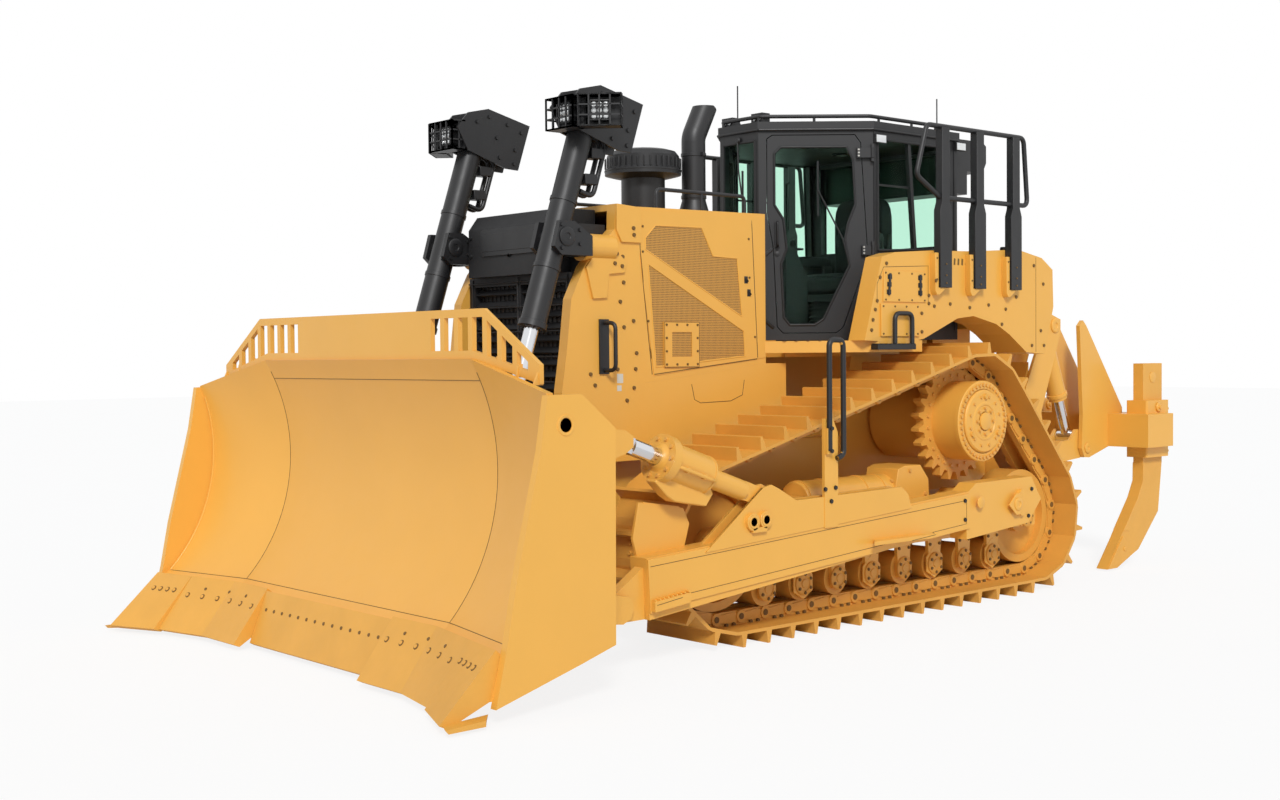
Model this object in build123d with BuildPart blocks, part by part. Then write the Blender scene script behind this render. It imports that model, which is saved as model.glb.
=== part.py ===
"""Track-type bulldozer with a semi-U blade and a parallelogram ripper.

Frame: millimetres, +Z up, the machine faces -Y and its left side is +X.
The origin is the middle of its footprint, on the ground under the grousers.
"""
from math import atan2, ceil, cos, degrees, hypot, pi, radians, sin, sqrt
import os

from build123d import *

os.makedirs("parts", exist_ok=True)
SIDES = (1, -1)                       # left, right
SIDE_NAMES = {1: "left", -1: "right"}

# ---- driving dimensions ------------------------------------------------------------
fit = 0.3                             # seat clearance between separate pieces
swing = 6.0                           # clearance round pieces that move
pin_fit = 0.5                         # radial clearance of a pin or a rod

# undercarriage
half_gauge = 1041.0                   # machine centre to track centre
shoe_width = 610.0
shoe_count = 44
shoe_plate = 20.0
grouser_height = 78.0
pin_to_plate = 71.0                   # pin line to the outer face of the shoe plates
link_below_pin = 38.0                 # pin line to the rail that the rollers run on
rail_gap = 110.0                      # between the two rows of links
rail_thickness = 46.0
front_idler_y, front_idler_radius = -1372.0, 451.0     # radii of the pin line
rear_idler_y, rear_idler_radius = 1835.0, 401.0
sprocket_y, sprocket_z, sprocket_radius = 1145.0, 1290.0, 425.0
sprocket_teeth = 25
roller_count, roller_pitch, roller_first_y = 8, 341.0, -950.0
roller_radius = 112.0
fork_gap, fork_plate = 12.0, 45.0       # rail's outer face to the forks that hold rollers and idlers
frame_beam_width, frame_beam_bottom, frame_beam_top = 280.0, 462.0, 730.0
trunnion_y, trunnion_z, trunnion_radius = 1295.0, 713.0, 75.0
hub_radius, hub_face_x = 285.0, 1310.0

# hull, hood and cab
hull_half_width, hull_bottom, hull_top = 470.0, 640.0, 1180.0
hull_front_y, hull_rear_y = -1700.0, 2330.0
belly_plate = 22.0
hood_half_width, hood_skin = 600.0, 30.0
hood_front_y, hood_rear_y = -1500.0, -340.0
hood_front_z, hood_rear_z = 2722.0, 2737.0
hood_sill_front_z, hood_sill_rear_z = 1600.0, 1720.0
guard_half_width, guard_plate = 620.0, 80.0
cab_front_half, cab_front_y = 195.0, 20.0
cab_half_width, cab_kink_y, cab_rear_y = 735.0, 640.0, 1620.0
cab_floor_z, cab_eave_z, cab_wall, cab_roof_thickness = 1880.0, 3381.0, 60.0, 62.0
door_thickness, door_hinge_out = 50.0, 25.0
hinge_s, hinge_pin_radius, hinge_knuckle = 815.0, 9.0, 70.0
hinge_spots = [(3215.0, 700.0), (2520.0, 735.0)]       # height, distance along the door of the leaf's root
glass_thickness = 10.0
platform_z, platform_thickness = 1870.0, 80.0
base_half_width = 460.0
fender_inner, fender_outer, fender_front_inner = 800.0, 1105.0, 960.0
fender_box_front_y, fender_walk_y = 100.0, 720.0
tank_half_width = 795.0

stack_x, stack_y, stack_radius = 150.0, -579.0, 83.0
stack_elbow_z, stack_top = 3285.0, (-463.0, 3508.0)
cleaner_y = -915.0

# blade and push arms
blade_half_width, crease_x = 1905.0, 1142.0
mold_centre_y, mold_centre_z, mold_radius = -4142.0, 1169.0, 1133.0
mold_skin, wing_lead = 40.0, 175.0
mold_top_z, mold_wing_top_z, mold_bottom_z = 1772.0, 1600.0, 330.0
end_plate = 45.0
arm_inner, arm_outer = 1375.0, 1515.0
pitch_pin_y, pitch_pin_z, pitch_pin_radius = -2445.0, 384.0, 45.0
tilt_x = 1478.0
tilt_head_y, tilt_head_z = -1272.0, 907.0
tilt_eye_y, tilt_eye_z = -2427.0, 1307.0
lift_x = 583.0
lift_trunnion_y, lift_trunnion_z = -2157.0, 2500.0
lift_eye_y, lift_eye_z = -2680.0, 900.0
lift_barrel_radius, lift_bore_radius, lift_rod_radius = 80.0, 58.0, 45.0
lift_barrel_below, lift_barrel_above = 578.0, 900.0
lift_eye_half = 48.0

# ripper
ripper_low_pin = (2560.0, 930.0)      # (y, z) of the link's pin on the tractor
ripper_beam_pin = (3205.0, 985.0)     # link to ripper frame
ripper_top_pin = (3140.0, 1960.0)     # tilt cylinder to ripper frame
ripper_tilt_head = (2495.0, 1905.0)
ripper_lift_head = (2750.0, 1990.0)
ripper_lift_eye = (3130.0, 1075.0)
ripper_lift_x, ripper_tilt_x = 710.0, 480.0
ripper_barrel_radius, ripper_rod_radius = 75.0, 40.0
ripper_lift_eye_half, ripper_tilt_eye_half = 75.0, 42.0
ripper_link_plate, ripper_side_plate = 26.0, 34.0
ripper_pin_reach = 152.0              # from the plates' middle to the ends of the beam's pins
beam_front_y, beam_rear_y, beam_bottom_z, beam_top_z = 3508.0, 3902.0, 985.0, 1258.0
beam_half_length = 1230.0
shank_x, shank_thickness = 1060.0, 90.0
shank_top_y, shank_width = 3790.0, 296.0                # middle of the shank's upper end
pocket_wall, pocket_above, pocket_below = 26.0, 110.0, 90.0


def finish(piece, name):
    """Label one sub-part and write it as a STEP file."""
    piece.part.label = name
    export_step(piece.part, f"parts/{name}.step")


def axis_plane(x, start, end, along=0.0):
    """Plane across the line from start to end, both (y, z), at a distance along it."""
    length = hypot(end[0] - start[0], end[1] - start[1])
    toward = ((end[0] - start[0]) / length, (end[1] - start[1]) / length)
    origin = (x, start[0] + toward[0] * along, start[1] + toward[1] * along)
    return Plane(origin=origin, x_dir=(1, 0, 0), z_dir=(0, toward[0], toward[1]))


def distance(start, end):
    """Length of the line between two (y, z) points."""
    return hypot(end[0] - start[0], end[1] - start[1])


# ---- track path ----------------------------------------------------------------------
# circles that the pin line runs round, as (y, z, radius), in travel order
ground_pin_z = grouser_height + pin_to_plate
wheels = [
    (front_idler_y, ground_pin_z + front_idler_radius, front_idler_radius),
    (rear_idler_y, ground_pin_z + rear_idler_radius, rear_idler_radius),
    (sprocket_y, sprocket_z, sprocket_radius),
]


def asin_safe(value):
    """Arc sine by the arc tangent."""
    return atan2(value, sqrt(1 - value * value))


def tangent_heading(first, second):
    """Heading of the outer tangent from one circle to the next, loop counter-clockwise."""
    run_y, run_z = second[0] - first[0], second[1] - first[1]
    return atan2(run_z, run_y) - asin_safe((second[2] - first[2]) / hypot(run_y, run_z))


def track_pins(count):
    """Pins of the closed track, evenly spaced along its tangents and arcs."""
    headings = [tangent_heading(wheels[i], wheels[(i + 1) % 3]) for i in range(3)]
    pieces = []                       # ("run", start, end) or ("arc", wheel, from, sweep)
    for i, wheel in enumerate(wheels):
        following = wheels[(i + 1) % 3]
        out = headings[i]
        back = headings[i - 1]
        sweep = (out - back) % (2 * pi)
        pieces.append((wheel[2] * sweep, "arc", wheel, back - pi / 2, sweep))
        leave = (wheel[0] + wheel[2] * cos(out - pi / 2), wheel[1] + wheel[2] * sin(out - pi / 2))
        reach = (following[0] + following[2] * cos(out - pi / 2),
                 following[1] + following[2] * sin(out - pi / 2))
        pieces.append((distance(leave, reach), "run", leave, reach, 0.0))
    total = sum(piece[0] for piece in pieces)
    step = total / count
    offset = pieces[0][0]             # one pin stands where the ground run begins
    pins = []
    for i in range(count):
        travel = (offset + i * step) % total
        for length, kind, first, second, sweep in pieces:
            if travel <= length:
                break
            travel -= length
        if kind == "arc":
            angle = second + travel / first[2]
            pins.append((first[0] + first[2] * cos(angle), first[1] + first[2] * sin(angle)))
        else:
            share = travel / length
            pins.append((first[0] + (second[0] - first[0]) * share,
                         first[1] + (second[1] - first[1]) * share))
    return pins


pins = track_pins(shoe_count)


def link_point(index, share, height):
    """Point beside link `index`: share along it from pin to pin, height outward."""
    start, end = pins[index % shoe_count], pins[(index + 1) % shoe_count]
    length = distance(start, end)
    along_y, along_z = (end[0] - start[0]) / length, (end[1] - start[1]) / length
    return (start[0] + along_y * length * share + along_z * height,
            start[1] + along_z * length * share - along_y * height)


def inner_loop(height):
    """Closed polygon through the joints of the links, at one height from the pin line."""
    loop = []
    for i in range(shoe_count):
        before, after = link_point(i - 1, 1, height), link_point(i, 0, height)
        loop.append(((before[0] + after[0]) / 2, (before[1] + after[1]) / 2))
    return loop


# grouser shoe, as (share along the link, height from the pin line)
shoe_profile = [
    (0.04, pin_to_plate),
    (0.14, pin_to_plate),
    (0.20, pin_to_plate + grouser_height),
    (0.29, pin_to_plate + grouser_height),
    (0.36, pin_to_plate),
    (0.97, pin_to_plate),
]
shoe_outline = [link_point(i, share, height) for i in range(shoe_count)
                for share, height in shoe_profile]

for side in SIDES:
    with BuildPart() as track:
        edge = side * half_gauge - shoe_width / 2
        with BuildSketch(Plane.YZ.offset(edge)):
            Polygon(*shoe_outline, align=None)
            Polygon(*inner_loop(pin_to_plate - shoe_plate), align=None, mode=Mode.SUBTRACT)
        extrude(amount=shoe_width)
        for row in SIDES:
            middle = side * half_gauge + row * (rail_gap + rail_thickness) / 2
            with BuildSketch(Plane.YZ.offset(middle - rail_thickness / 2)):
                Polygon(*inner_loop(pin_to_plate - shoe_plate / 2), align=None)
                Polygon(*inner_loop(-link_below_pin), align=None, mode=Mode.SUBTRACT)
            extrude(amount=rail_thickness)
    finish(track, f"track_{SIDE_NAMES[side]}")

# ---- rollers, idlers, sprockets -------------------------------------------------------
rail_top_z = ground_pin_z + link_below_pin
roller_z = rail_top_z + fit + roller_radius
roller_ys = [roller_first_y + i * roller_pitch for i in range(roller_count)]
rail_outer = rail_gap / 2 + rail_thickness
fork_inner = rail_outer + fork_gap
roller_half_width = fork_inner - fit

with BuildPart() as track_rollers:
    for side in SIDES:
        for y in roller_ys:
            with BuildSketch(Plane.YZ.offset(side * half_gauge - roller_half_width)):
                with Locations((y, roller_z)):
                    Circle(roller_radius)
            extrude(amount=2 * roller_half_width)
finish(track_rollers, "track_rollers")

def idler_rim(pin_radius):
    """Radius of an idler's rim: the rail at the middle of a link, less the seat."""
    pitch = distance(pins[0], pins[1])
    return sqrt(pin_radius ** 2 - (pitch / 2) ** 2) - link_below_pin - fit


idler_hub_radius = 66.0
idler_specs = [(front_idler_y, wheels[0][1], idler_rim(front_idler_radius)),
               (rear_idler_y, wheels[1][1], idler_rim(rear_idler_radius))]
with BuildPart() as idlers:
    for side in SIDES:
        for y, z, rim in idler_specs:
            middle = side * half_gauge
            with BuildSketch(Plane.YZ.offset(middle - rail_outer)):
                with Locations((y, z)):
                    Circle(rim)
            extrude(amount=2 * rail_outer)
            for face in SIDES:
                with BuildSketch(Plane.YZ.offset(middle + face * rail_outer)):
                    with Locations((y, z)):
                        Circle(rim - 55)
                        Circle(120, mode=Mode.SUBTRACT)
                extrude(amount=-face * 55, mode=Mode.SUBTRACT)
            # hub that reaches the forks
            with BuildSketch(Plane.YZ.offset(middle - fork_inner + fit)):
                with Locations((y, z)):
                    Circle(idler_hub_radius)
            extrude(amount=2 * (fork_inner - fit))
finish(idlers, "idlers")

tooth_root, tooth_tip = sprocket_radius - 50, sprocket_radius + 6
with BuildPart() as sprockets:
    for side in SIDES:
        with BuildSketch(Plane.YZ.offset(side * half_gauge - 35)):
            with Locations((sprocket_y, sprocket_z)):
                Circle(tooth_root)
                with PolarLocations(tooth_root - 8, sprocket_teeth):
                    Trapezoid(62, tooth_tip - tooth_root + 8, 73, align=(Align.CENTER, Align.MIN),
                              rotation=-90)
                Circle(hub_radius + fit, mode=Mode.SUBTRACT)
        extrude(amount=70)
finish(sprockets, "sprockets")

with BuildPart() as final_drives:
    for side in SIDES:
        with BuildSketch(Plane.YZ.offset(side * (hull_half_width + 40))):
            with Locations((sprocket_y, sprocket_z)):
                Circle(hub_radius)
        extrude(amount=side * (hub_face_x - hull_half_width - 40))
        with BuildSketch(Plane.YZ.offset(side * hub_face_x)):
            with Locations((sprocket_y, sprocket_z)):
                Circle(70)
        extrude(amount=side * 18)
        with BuildSketch(Plane.YZ.offset(side * (hull_half_width + fit))):
            with Locations((sprocket_y, sprocket_z)):
                Circle(250)
        extrude(amount=side * 45)
finish(final_drives, "final_drives")

frame_half = frame_beam_width / 2
for side in SIDES:
    with BuildPart() as roller_frame:
        with BuildSketch(Plane.YZ.offset(side * half_gauge - frame_half)):
            Polygon((-900, frame_beam_bottom), (1440, frame_beam_bottom), (1440, 680),
                    (1380, frame_beam_top + 60), (1200, frame_beam_top + 60), (1100, frame_beam_top),
                    (-820, frame_beam_top), (-900, 680), align=None)
        extrude(amount=frame_beam_width)
        for face in SIDES:
            start = side * half_gauge + face * fork_inner
            for y, z, rim in idler_specs:
                reach = 1 if y < 0 else -1
                root_y = -880 if y < 0 else 1420
                with BuildSketch(Plane.YZ.offset(start)):
                    Polygon((y - reach * 110, z - 70), (y - reach * 110, z + 70),
                            (root_y + reach * 120, frame_beam_top - 20),
                            (root_y + reach * 120, frame_beam_bottom + 20), align=None)
                extrude(amount=face * fork_plate)
            # roller brackets below the beam
            for y in roller_ys:
                with BuildSketch(Plane.YZ.offset(start)):
                    Polygon((y - 75, frame_beam_bottom + 5), (y + 75, frame_beam_bottom + 5),
                            (y + 55, roller_z - 60), (y - 55, roller_z - 60), align=None)
                extrude(amount=face * 26)
        # trunnion that carries the push arm
        with BuildSketch(Plane.YZ.offset(side * half_gauge)):
            with Locations((trunnion_y, trunnion_z)):
                Circle(trunnion_radius)
        extrude(amount=side * (arm_outer - 20 - half_gauge))
        with BuildSketch(Plane.YZ.offset(side * half_gauge)):
            with Locations((trunnion_y, trunnion_z)):
                Circle(trunnion_radius + 45)
        extrude(amount=side * (arm_inner - swing - half_gauge))
    finish(roller_frame, f"roller_frame_{SIDE_NAMES[side]}")

# ---- hull ----------------------------------------------------------------------------
shaft_y, shaft_z, shaft_radius = 700.0, 680.0, 80.0
bar_y, bar_z, bar_height, bar_depth = -640.0, 800.0, 110.0, 150.0
with BuildPart() as main_frame:
    with BuildSketch(Plane.XZ.offset(-hull_front_y)):
        Polygon((-hull_half_width + 60, hull_bottom), (hull_half_width - 60, hull_bottom),
                (hull_half_width, hull_bottom + 80), (hull_half_width, hull_top),
                (-hull_half_width, hull_top), (-hull_half_width, hull_bottom + 80), align=None)
    extrude(amount=-(hull_rear_y - hull_front_y))
    # rear case that carries the final drives, under the fuel tank
    with BuildSketch(Plane.YZ.offset(-hull_half_width)):
        Polygon((560, hull_top), (hull_rear_y, hull_top), (hull_rear_y, 1760), (700, 1760), align=None)
    extrude(amount=2 * hull_half_width)
    # side walls up to the hood's sill
    for side in SIDES:
        with BuildSketch(Plane.YZ.offset(side * (hood_half_width - hood_skin))):
            Polygon((hood_front_y + fit, hull_top - 60), (hood_rear_y + 200, hull_top - 60),
                    (hood_rear_y + 200, hood_sill_rear_z), (hood_rear_y, hood_sill_rear_z),
                    (hood_front_y + fit, hood_sill_front_z), align=None)
        extrude(amount=side * hood_skin)
        with BuildSketch(Plane.YZ.offset(side * (hull_half_width - 10))):
            Polygon((hood_front_y + fit, hull_top - 60), (hood_rear_y + 200, hull_top - 60),
                    (hood_rear_y + 200, hull_top), (hood_front_y + fit, hull_top), align=None)
        extrude(amount=side * (hood_half_width - hood_skin - hull_half_width + 10))
    with BuildSketch(Plane.YZ.offset(-hull_half_width - 10)):
        with Locations((bar_y, bar_z)):
            Rectangle(bar_depth + 60, bar_height + 80)
    extrude(amount=2 * hull_half_width + 20, mode=Mode.SUBTRACT)
finish(main_frame, "main_frame")

with BuildPart() as belly_guard:
    for y0, y1 in ((hull_front_y + 30, -300), (-280, 980), (1000, hull_rear_y - 60)):
        with BuildSketch(Plane.XY.offset(hull_bottom - fit)):
            with Locations((0, (y0 + y1) / 2)):
                Rectangle(2 * hull_half_width - 140, y1 - y0)
        extrude(amount=-belly_plate)
finish(belly_guard, "belly_guard")

frame_inner_x = half_gauge - frame_half
with BuildPart() as equalizer_bar:
    with BuildSketch(Plane.YZ.offset(-frame_inner_x + fit)):
        with Locations((bar_y, bar_z)):
            Rectangle(bar_depth, bar_height)
    extrude(amount=2 * (frame_inner_x - fit))
    for side in SIDES:
        with BuildSketch(Plane.XY.offset(frame_beam_top + fit)):
            with Locations((side * half_gauge, bar_y)):
                Rectangle(200, bar_depth + 20)
        extrude(amount=bar_z + bar_height / 2 - frame_beam_top - fit)
        with BuildSketch(Plane.YZ.offset(side * (frame_inner_x - 20))):
            with Locations((bar_y, bar_z + 15)):
                Rectangle(bar_depth, bar_height - 30)
        extrude(amount=side * 160)
finish(equalizer_bar, "equalizer_bar")

with BuildPart() as pivot_shaft:
    for side in SIDES:
        with BuildSketch(Plane.YZ.offset(side * (hull_half_width + fit))):
            with Locations((shaft_y, shaft_z)):
                Circle(shaft_radius)
        extrude(amount=side * (frame_inner_x - hull_half_width - 2 * fit))
finish(pivot_shaft, "pivot_shaft")

with BuildPart() as engine_block:
    with BuildSketch(Plane.XY.offset(hull_top + fit)):
        with Locations((0, -880)):
            Rectangle(640, 900)
    extrude(amount=1000)
finish(engine_block, "engine_block")

# ---- hood and radiator guard ------------------------------------------------------------
def sill_z(y):
    """Height of the hood's lower edge."""
    share = (y - hood_front_y) / (hood_rear_y - hood_front_y)
    return hood_sill_front_z + share * (hood_sill_rear_z - hood_sill_front_z)


hood_outline = [(hood_front_y + fit, hood_sill_front_z + fit), (hood_rear_y, hood_sill_rear_z + fit),
                (hood_rear_y, hood_rear_z), (hood_front_y + fit, hood_front_z)]
screen_outline = [(-1400, 1760), (-620, 1790), (-620, 2180), (-720, 2310), (-770, 2600), (-1330, 2600),
                  (-1400, 2520)]
stack_seat_z, cleaner_seat_z = 2742.0, 2736.0
with BuildPart() as hood:
    with BuildSketch(Plane.YZ.offset(-hood_half_width)):
        Polygon(*hood_outline, align=None)
    extrude(amount=2 * hood_half_width)
    with BuildSketch(Plane.YZ.offset(-hood_half_width + hood_skin)):
        Polygon((hood_front_y, hood_sill_front_z - 50), (hood_rear_y - hood_skin, hood_sill_rear_z - 50),
                (hood_rear_y - hood_skin, hood_rear_z - hood_skin),
                (hood_front_y, hood_front_z - hood_skin), align=None)
    extrude(amount=2 * (hood_half_width - hood_skin), mode=Mode.SUBTRACT)
    for side in SIDES:
        with BuildSketch(Plane.YZ.offset(side * (hood_half_width + 1))):
            Polygon(*screen_outline, align=None)
        extrude(amount=-side * (hood_skin + 2), mode=Mode.SUBTRACT)
    # level seats for the stack and the precleaner
    for x, y, radius, seat_z in ((stack_x, stack_y, stack_radius + 34, stack_seat_z),
                                 (0, cleaner_y, 180, cleaner_seat_z)):
        with BuildSketch(Plane.XY.offset(seat_z)):
            with Locations((x, y)):
                Circle(radius)
        extrude(amount=-20)
finish(hood, "hood")

with BuildPart() as hood_screens:
    for side in SIDES:
        with BuildSketch(Plane.YZ.offset(side * (hood_half_width - 16))):
            Polygon(*screen_outline, align=None)
            offset(amount=-fit)
        extrude(amount=side * 6)
finish(hood_screens, "hood_screens")

guard_outline = [(hood_front_y, 1120), (hood_front_y, 2714), (-1700, 2728), (-1707, 2569), (-1858, 2442),
                 (-1955, 2332), (-2060, 2131), (-2098, 1815), (-2140, 1560), (-2140, 1120)]
bearing_z, bearing_radius = lift_trunnion_z - 50, 85.0
bearing_front_y, bearing_rear_y = lift_trunnion_y + 200 + fit, -1720.0
with BuildPart() as radiator_guard:
    for side in SIDES:
        with BuildSketch(Plane.YZ.offset(side * (guard_half_width - guard_plate))):
            Polygon(*guard_outline, align=None)
        extrude(amount=side * guard_plate)
    # floor that ties the sides to the hull, and the roof behind the crosspiece
    with BuildSketch(Plane.YZ.offset(-guard_half_width + guard_plate)):
        Polygon((-2140, 1120), (hull_front_y, 1120), (hull_front_y, hull_top + fit),
                (hood_front_y, hull_top + fit), (hood_front_y, 1240), (-2140, 1240), align=None)
    extrude(amount=2 * (guard_half_width - guard_plate))
    with BuildSketch(Plane.YZ.offset(-guard_half_width + guard_plate)):
        Polygon((-1700, 2728), (hood_front_y, 2714), (hood_front_y, 2674), (-1700, 2688), align=None)
    extrude(amount=2 * (guard_half_width - guard_plate))
    # bearings of the lift cylinder yokes
    for side in SIDES:
        with BuildSketch(Plane.XZ.offset(-bearing_front_y)):
            with Locations((side * lift_x, bearing_z)):
                Circle(bearing_radius)
        extrude(amount=-(bearing_rear_y - bearing_front_y))
finish(radiator_guard, "radiator_guard")

grille_half = guard_half_width - guard_plate - fit
crosspiece_half = 450.0
with BuildPart() as radiator_grille:
    # dark crosspiece over the louvres, between the yokes
    with BuildSketch(Plane.YZ.offset(-crosspiece_half)):
        Polygon((-2060, 2300), (-1720, 2300), (-1720, 2600), (-1980, 2600), (-2060, 2500), align=None)
    extrude(amount=2 * crosspiece_half)
    with BuildSketch(Plane.YZ.offset(-grille_half)):
        Polygon((-1930, 2300), (-1720, 2300), (-1720, 2600), (-1930, 2600), align=None)
    extrude(amount=2 * grille_half)
    # frame and louvres
    with BuildSketch(Plane.YZ.offset(-grille_half)):
        Polygon((-1990, 1241), (-1720, 1241), (-1720, 2300), (-1990, 2300), align=None)
    extrude(amount=2 * grille_half)
    with BuildSketch(Plane.XZ.offset(1995)):
        with Locations((0, 1770)):
            Rectangle(2 * grille_half - 120, 940)
    extrude(amount=-60, mode=Mode.SUBTRACT)
    louvre_count, louvre_pitch = 12, 76.0
    for i in range(louvre_count):
        z = 1350 + i * louvre_pitch
        with BuildSketch(Plane.YZ.offset(-grille_half + 50)):
            Polygon((-1985, z), (-1973, z - 8), (-1930, z + 26), (-1930, z + 42), align=None)
        extrude(amount=2 * (grille_half - 50))
    with BuildSketch(Plane.XZ.offset(1992)):
        with Locations((0, 1770)):
            Rectangle(40, 960)
    extrude(amount=-70)
    for side in SIDES:
        with BuildSketch(Plane.XZ.offset(-bearing_front_y + 100)):
            with Locations((side * lift_x, bearing_z)):
                Circle(bearing_radius + fit)
        extrude(amount=-500, mode=Mode.SUBTRACT)
finish(radiator_grille, "radiator_grille")

yoke_gap = lift_barrel_radius + swing
yoke_cheek = 36.0
with BuildPart() as lift_yokes:
    for side in SIDES:
        for face in SIDES:
            start = side * lift_x + face * yoke_gap
            with BuildSketch(Plane.YZ.offset(start)):
                with Locations((lift_trunnion_y, lift_trunnion_z)):
                    Polygon((-95, -60), (-50, 95), (60, 95), (200, 10), (200, -110), (-40, -110), align=None)
            extrude(amount=face * yoke_cheek)
            with BuildSketch(Plane.YZ.offset(start - face)):
                with Locations((lift_trunnion_y, lift_trunnion_z)):
                    Circle(46 + pin_fit)
            extrude(amount=face * (yoke_cheek + 2), mode=Mode.SUBTRACT)
        # bridge behind the barrel and shaft into the guard
        with BuildSketch(Plane.YZ.offset(side * lift_x - yoke_gap - yoke_cheek)):
            with Locations((lift_trunnion_y, lift_trunnion_z)):
                Polygon((130, -110), (200, -110), (200, 10), (130, 52), align=None)
        extrude(amount=2 * (yoke_gap + yoke_cheek))
finish(lift_yokes, "lift_yokes")

# ---- stack and precleaner ----------------------------------------------------------------
def pipe(points, radius, bend):
    """Round tube along straight runs with arcs at the corners."""
    with BuildPart() as tube:
        with BuildLine() as route:
            FilletPolyline(*points, radius=bend)
        with BuildSketch(Plane(origin=route.line @ 0, z_dir=route.line % 0)):
            Circle(radius)
        sweep()
    return tube.part


stack_wall, stack_skirt, stack_bend = 10.0, 105.0, 130.0
stack_route = [(stack_x, stack_y, stack_seat_z + stack_skirt - 5), (stack_x, stack_y, stack_elbow_z),
               (stack_x, *stack_top)]
with BuildPart() as exhaust_stack:
    with BuildSketch(Plane.XY.offset(stack_seat_z + fit)):
        with Locations((stack_x, stack_y)):
            Circle(stack_radius + 30)
    with BuildSketch(Plane.XY.offset(stack_seat_z + stack_skirt)):
        with Locations((stack_x, stack_y)):
            Circle(stack_radius)
    loft()
    add(pipe(stack_route, stack_radius, stack_bend))
    # open mouth, cut level
    with BuildSketch(axis_plane(stack_x, (stack_y, stack_elbow_z), stack_top, along=60)):
        Circle(stack_radius - stack_wall)
    extrude(amount=stack_bend + 100, mode=Mode.SUBTRACT)
    with BuildSketch(Plane.XY.offset(stack_top[1])):
        with Locations((stack_x, stack_top[0])):
            Rectangle(4 * stack_radius, 4 * stack_radius)
    extrude(amount=2 * stack_radius, mode=Mode.SUBTRACT)
finish(exhaust_stack, "exhaust_stack")

# radius and height of the precleaner's outline
cleaner_profile = [(0, cleaner_seat_z + fit), (175, cleaner_seat_z + fit), (175, 2760), (150, 2775),
                   (150, 2985), (215, 3000), (262, 3012),
                   (262, 3042), (248, 3060), (248, 3140), (225, 3170), (180, 3183), (0, 3183)]
with BuildPart() as air_precleaner:
    with BuildSketch(Plane.XZ.offset(-cleaner_y)):
        Polygon(*cleaner_profile, align=None)
    revolve(axis=Axis((0, cleaner_y, 0), (0, 0, 1)))
finish(air_precleaner, "air_precleaner")


# ---- cab -------------------------------------------------------------------------------
door_run = (cab_half_width - cab_front_half, cab_kink_y - cab_front_y)
door_span = hypot(*door_run)
door_dir = (door_run[0] / door_span, door_run[1] / door_span)
door_normal = (door_dir[1], -door_dir[0])


def door_face(side, outward=0.0):
    """Plane of one door's outer face: local x runs along the sill, local y up."""
    origin = (side * (cab_front_half + door_normal[0] * outward), cab_front_y + door_normal[1] * outward, 0)
    return Plane(origin=origin, x_dir=(door_dir[0], side * door_dir[1], 0),
                 z_dir=(side * door_normal[0], door_normal[1], 0))


def handed(points, side):
    """Outline in a door's plane for the left or the right side."""
    return [(side * along, height) for along, height in points]


def hinge_axis(side):
    """Where one door's hinge axis stands in plan."""
    return (side * (cab_front_half + door_dir[0] * hinge_s + door_normal[0] * door_hinge_out),
            cab_front_y + door_dir[1] * hinge_s + door_normal[1] * door_hinge_out)


cab_plan = [(cab_front_half, cab_front_y), (cab_half_width, cab_kink_y), (cab_half_width, cab_rear_y),
            (-cab_half_width, cab_rear_y), (-cab_half_width, cab_kink_y), (-cab_front_half, cab_front_y)]
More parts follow.
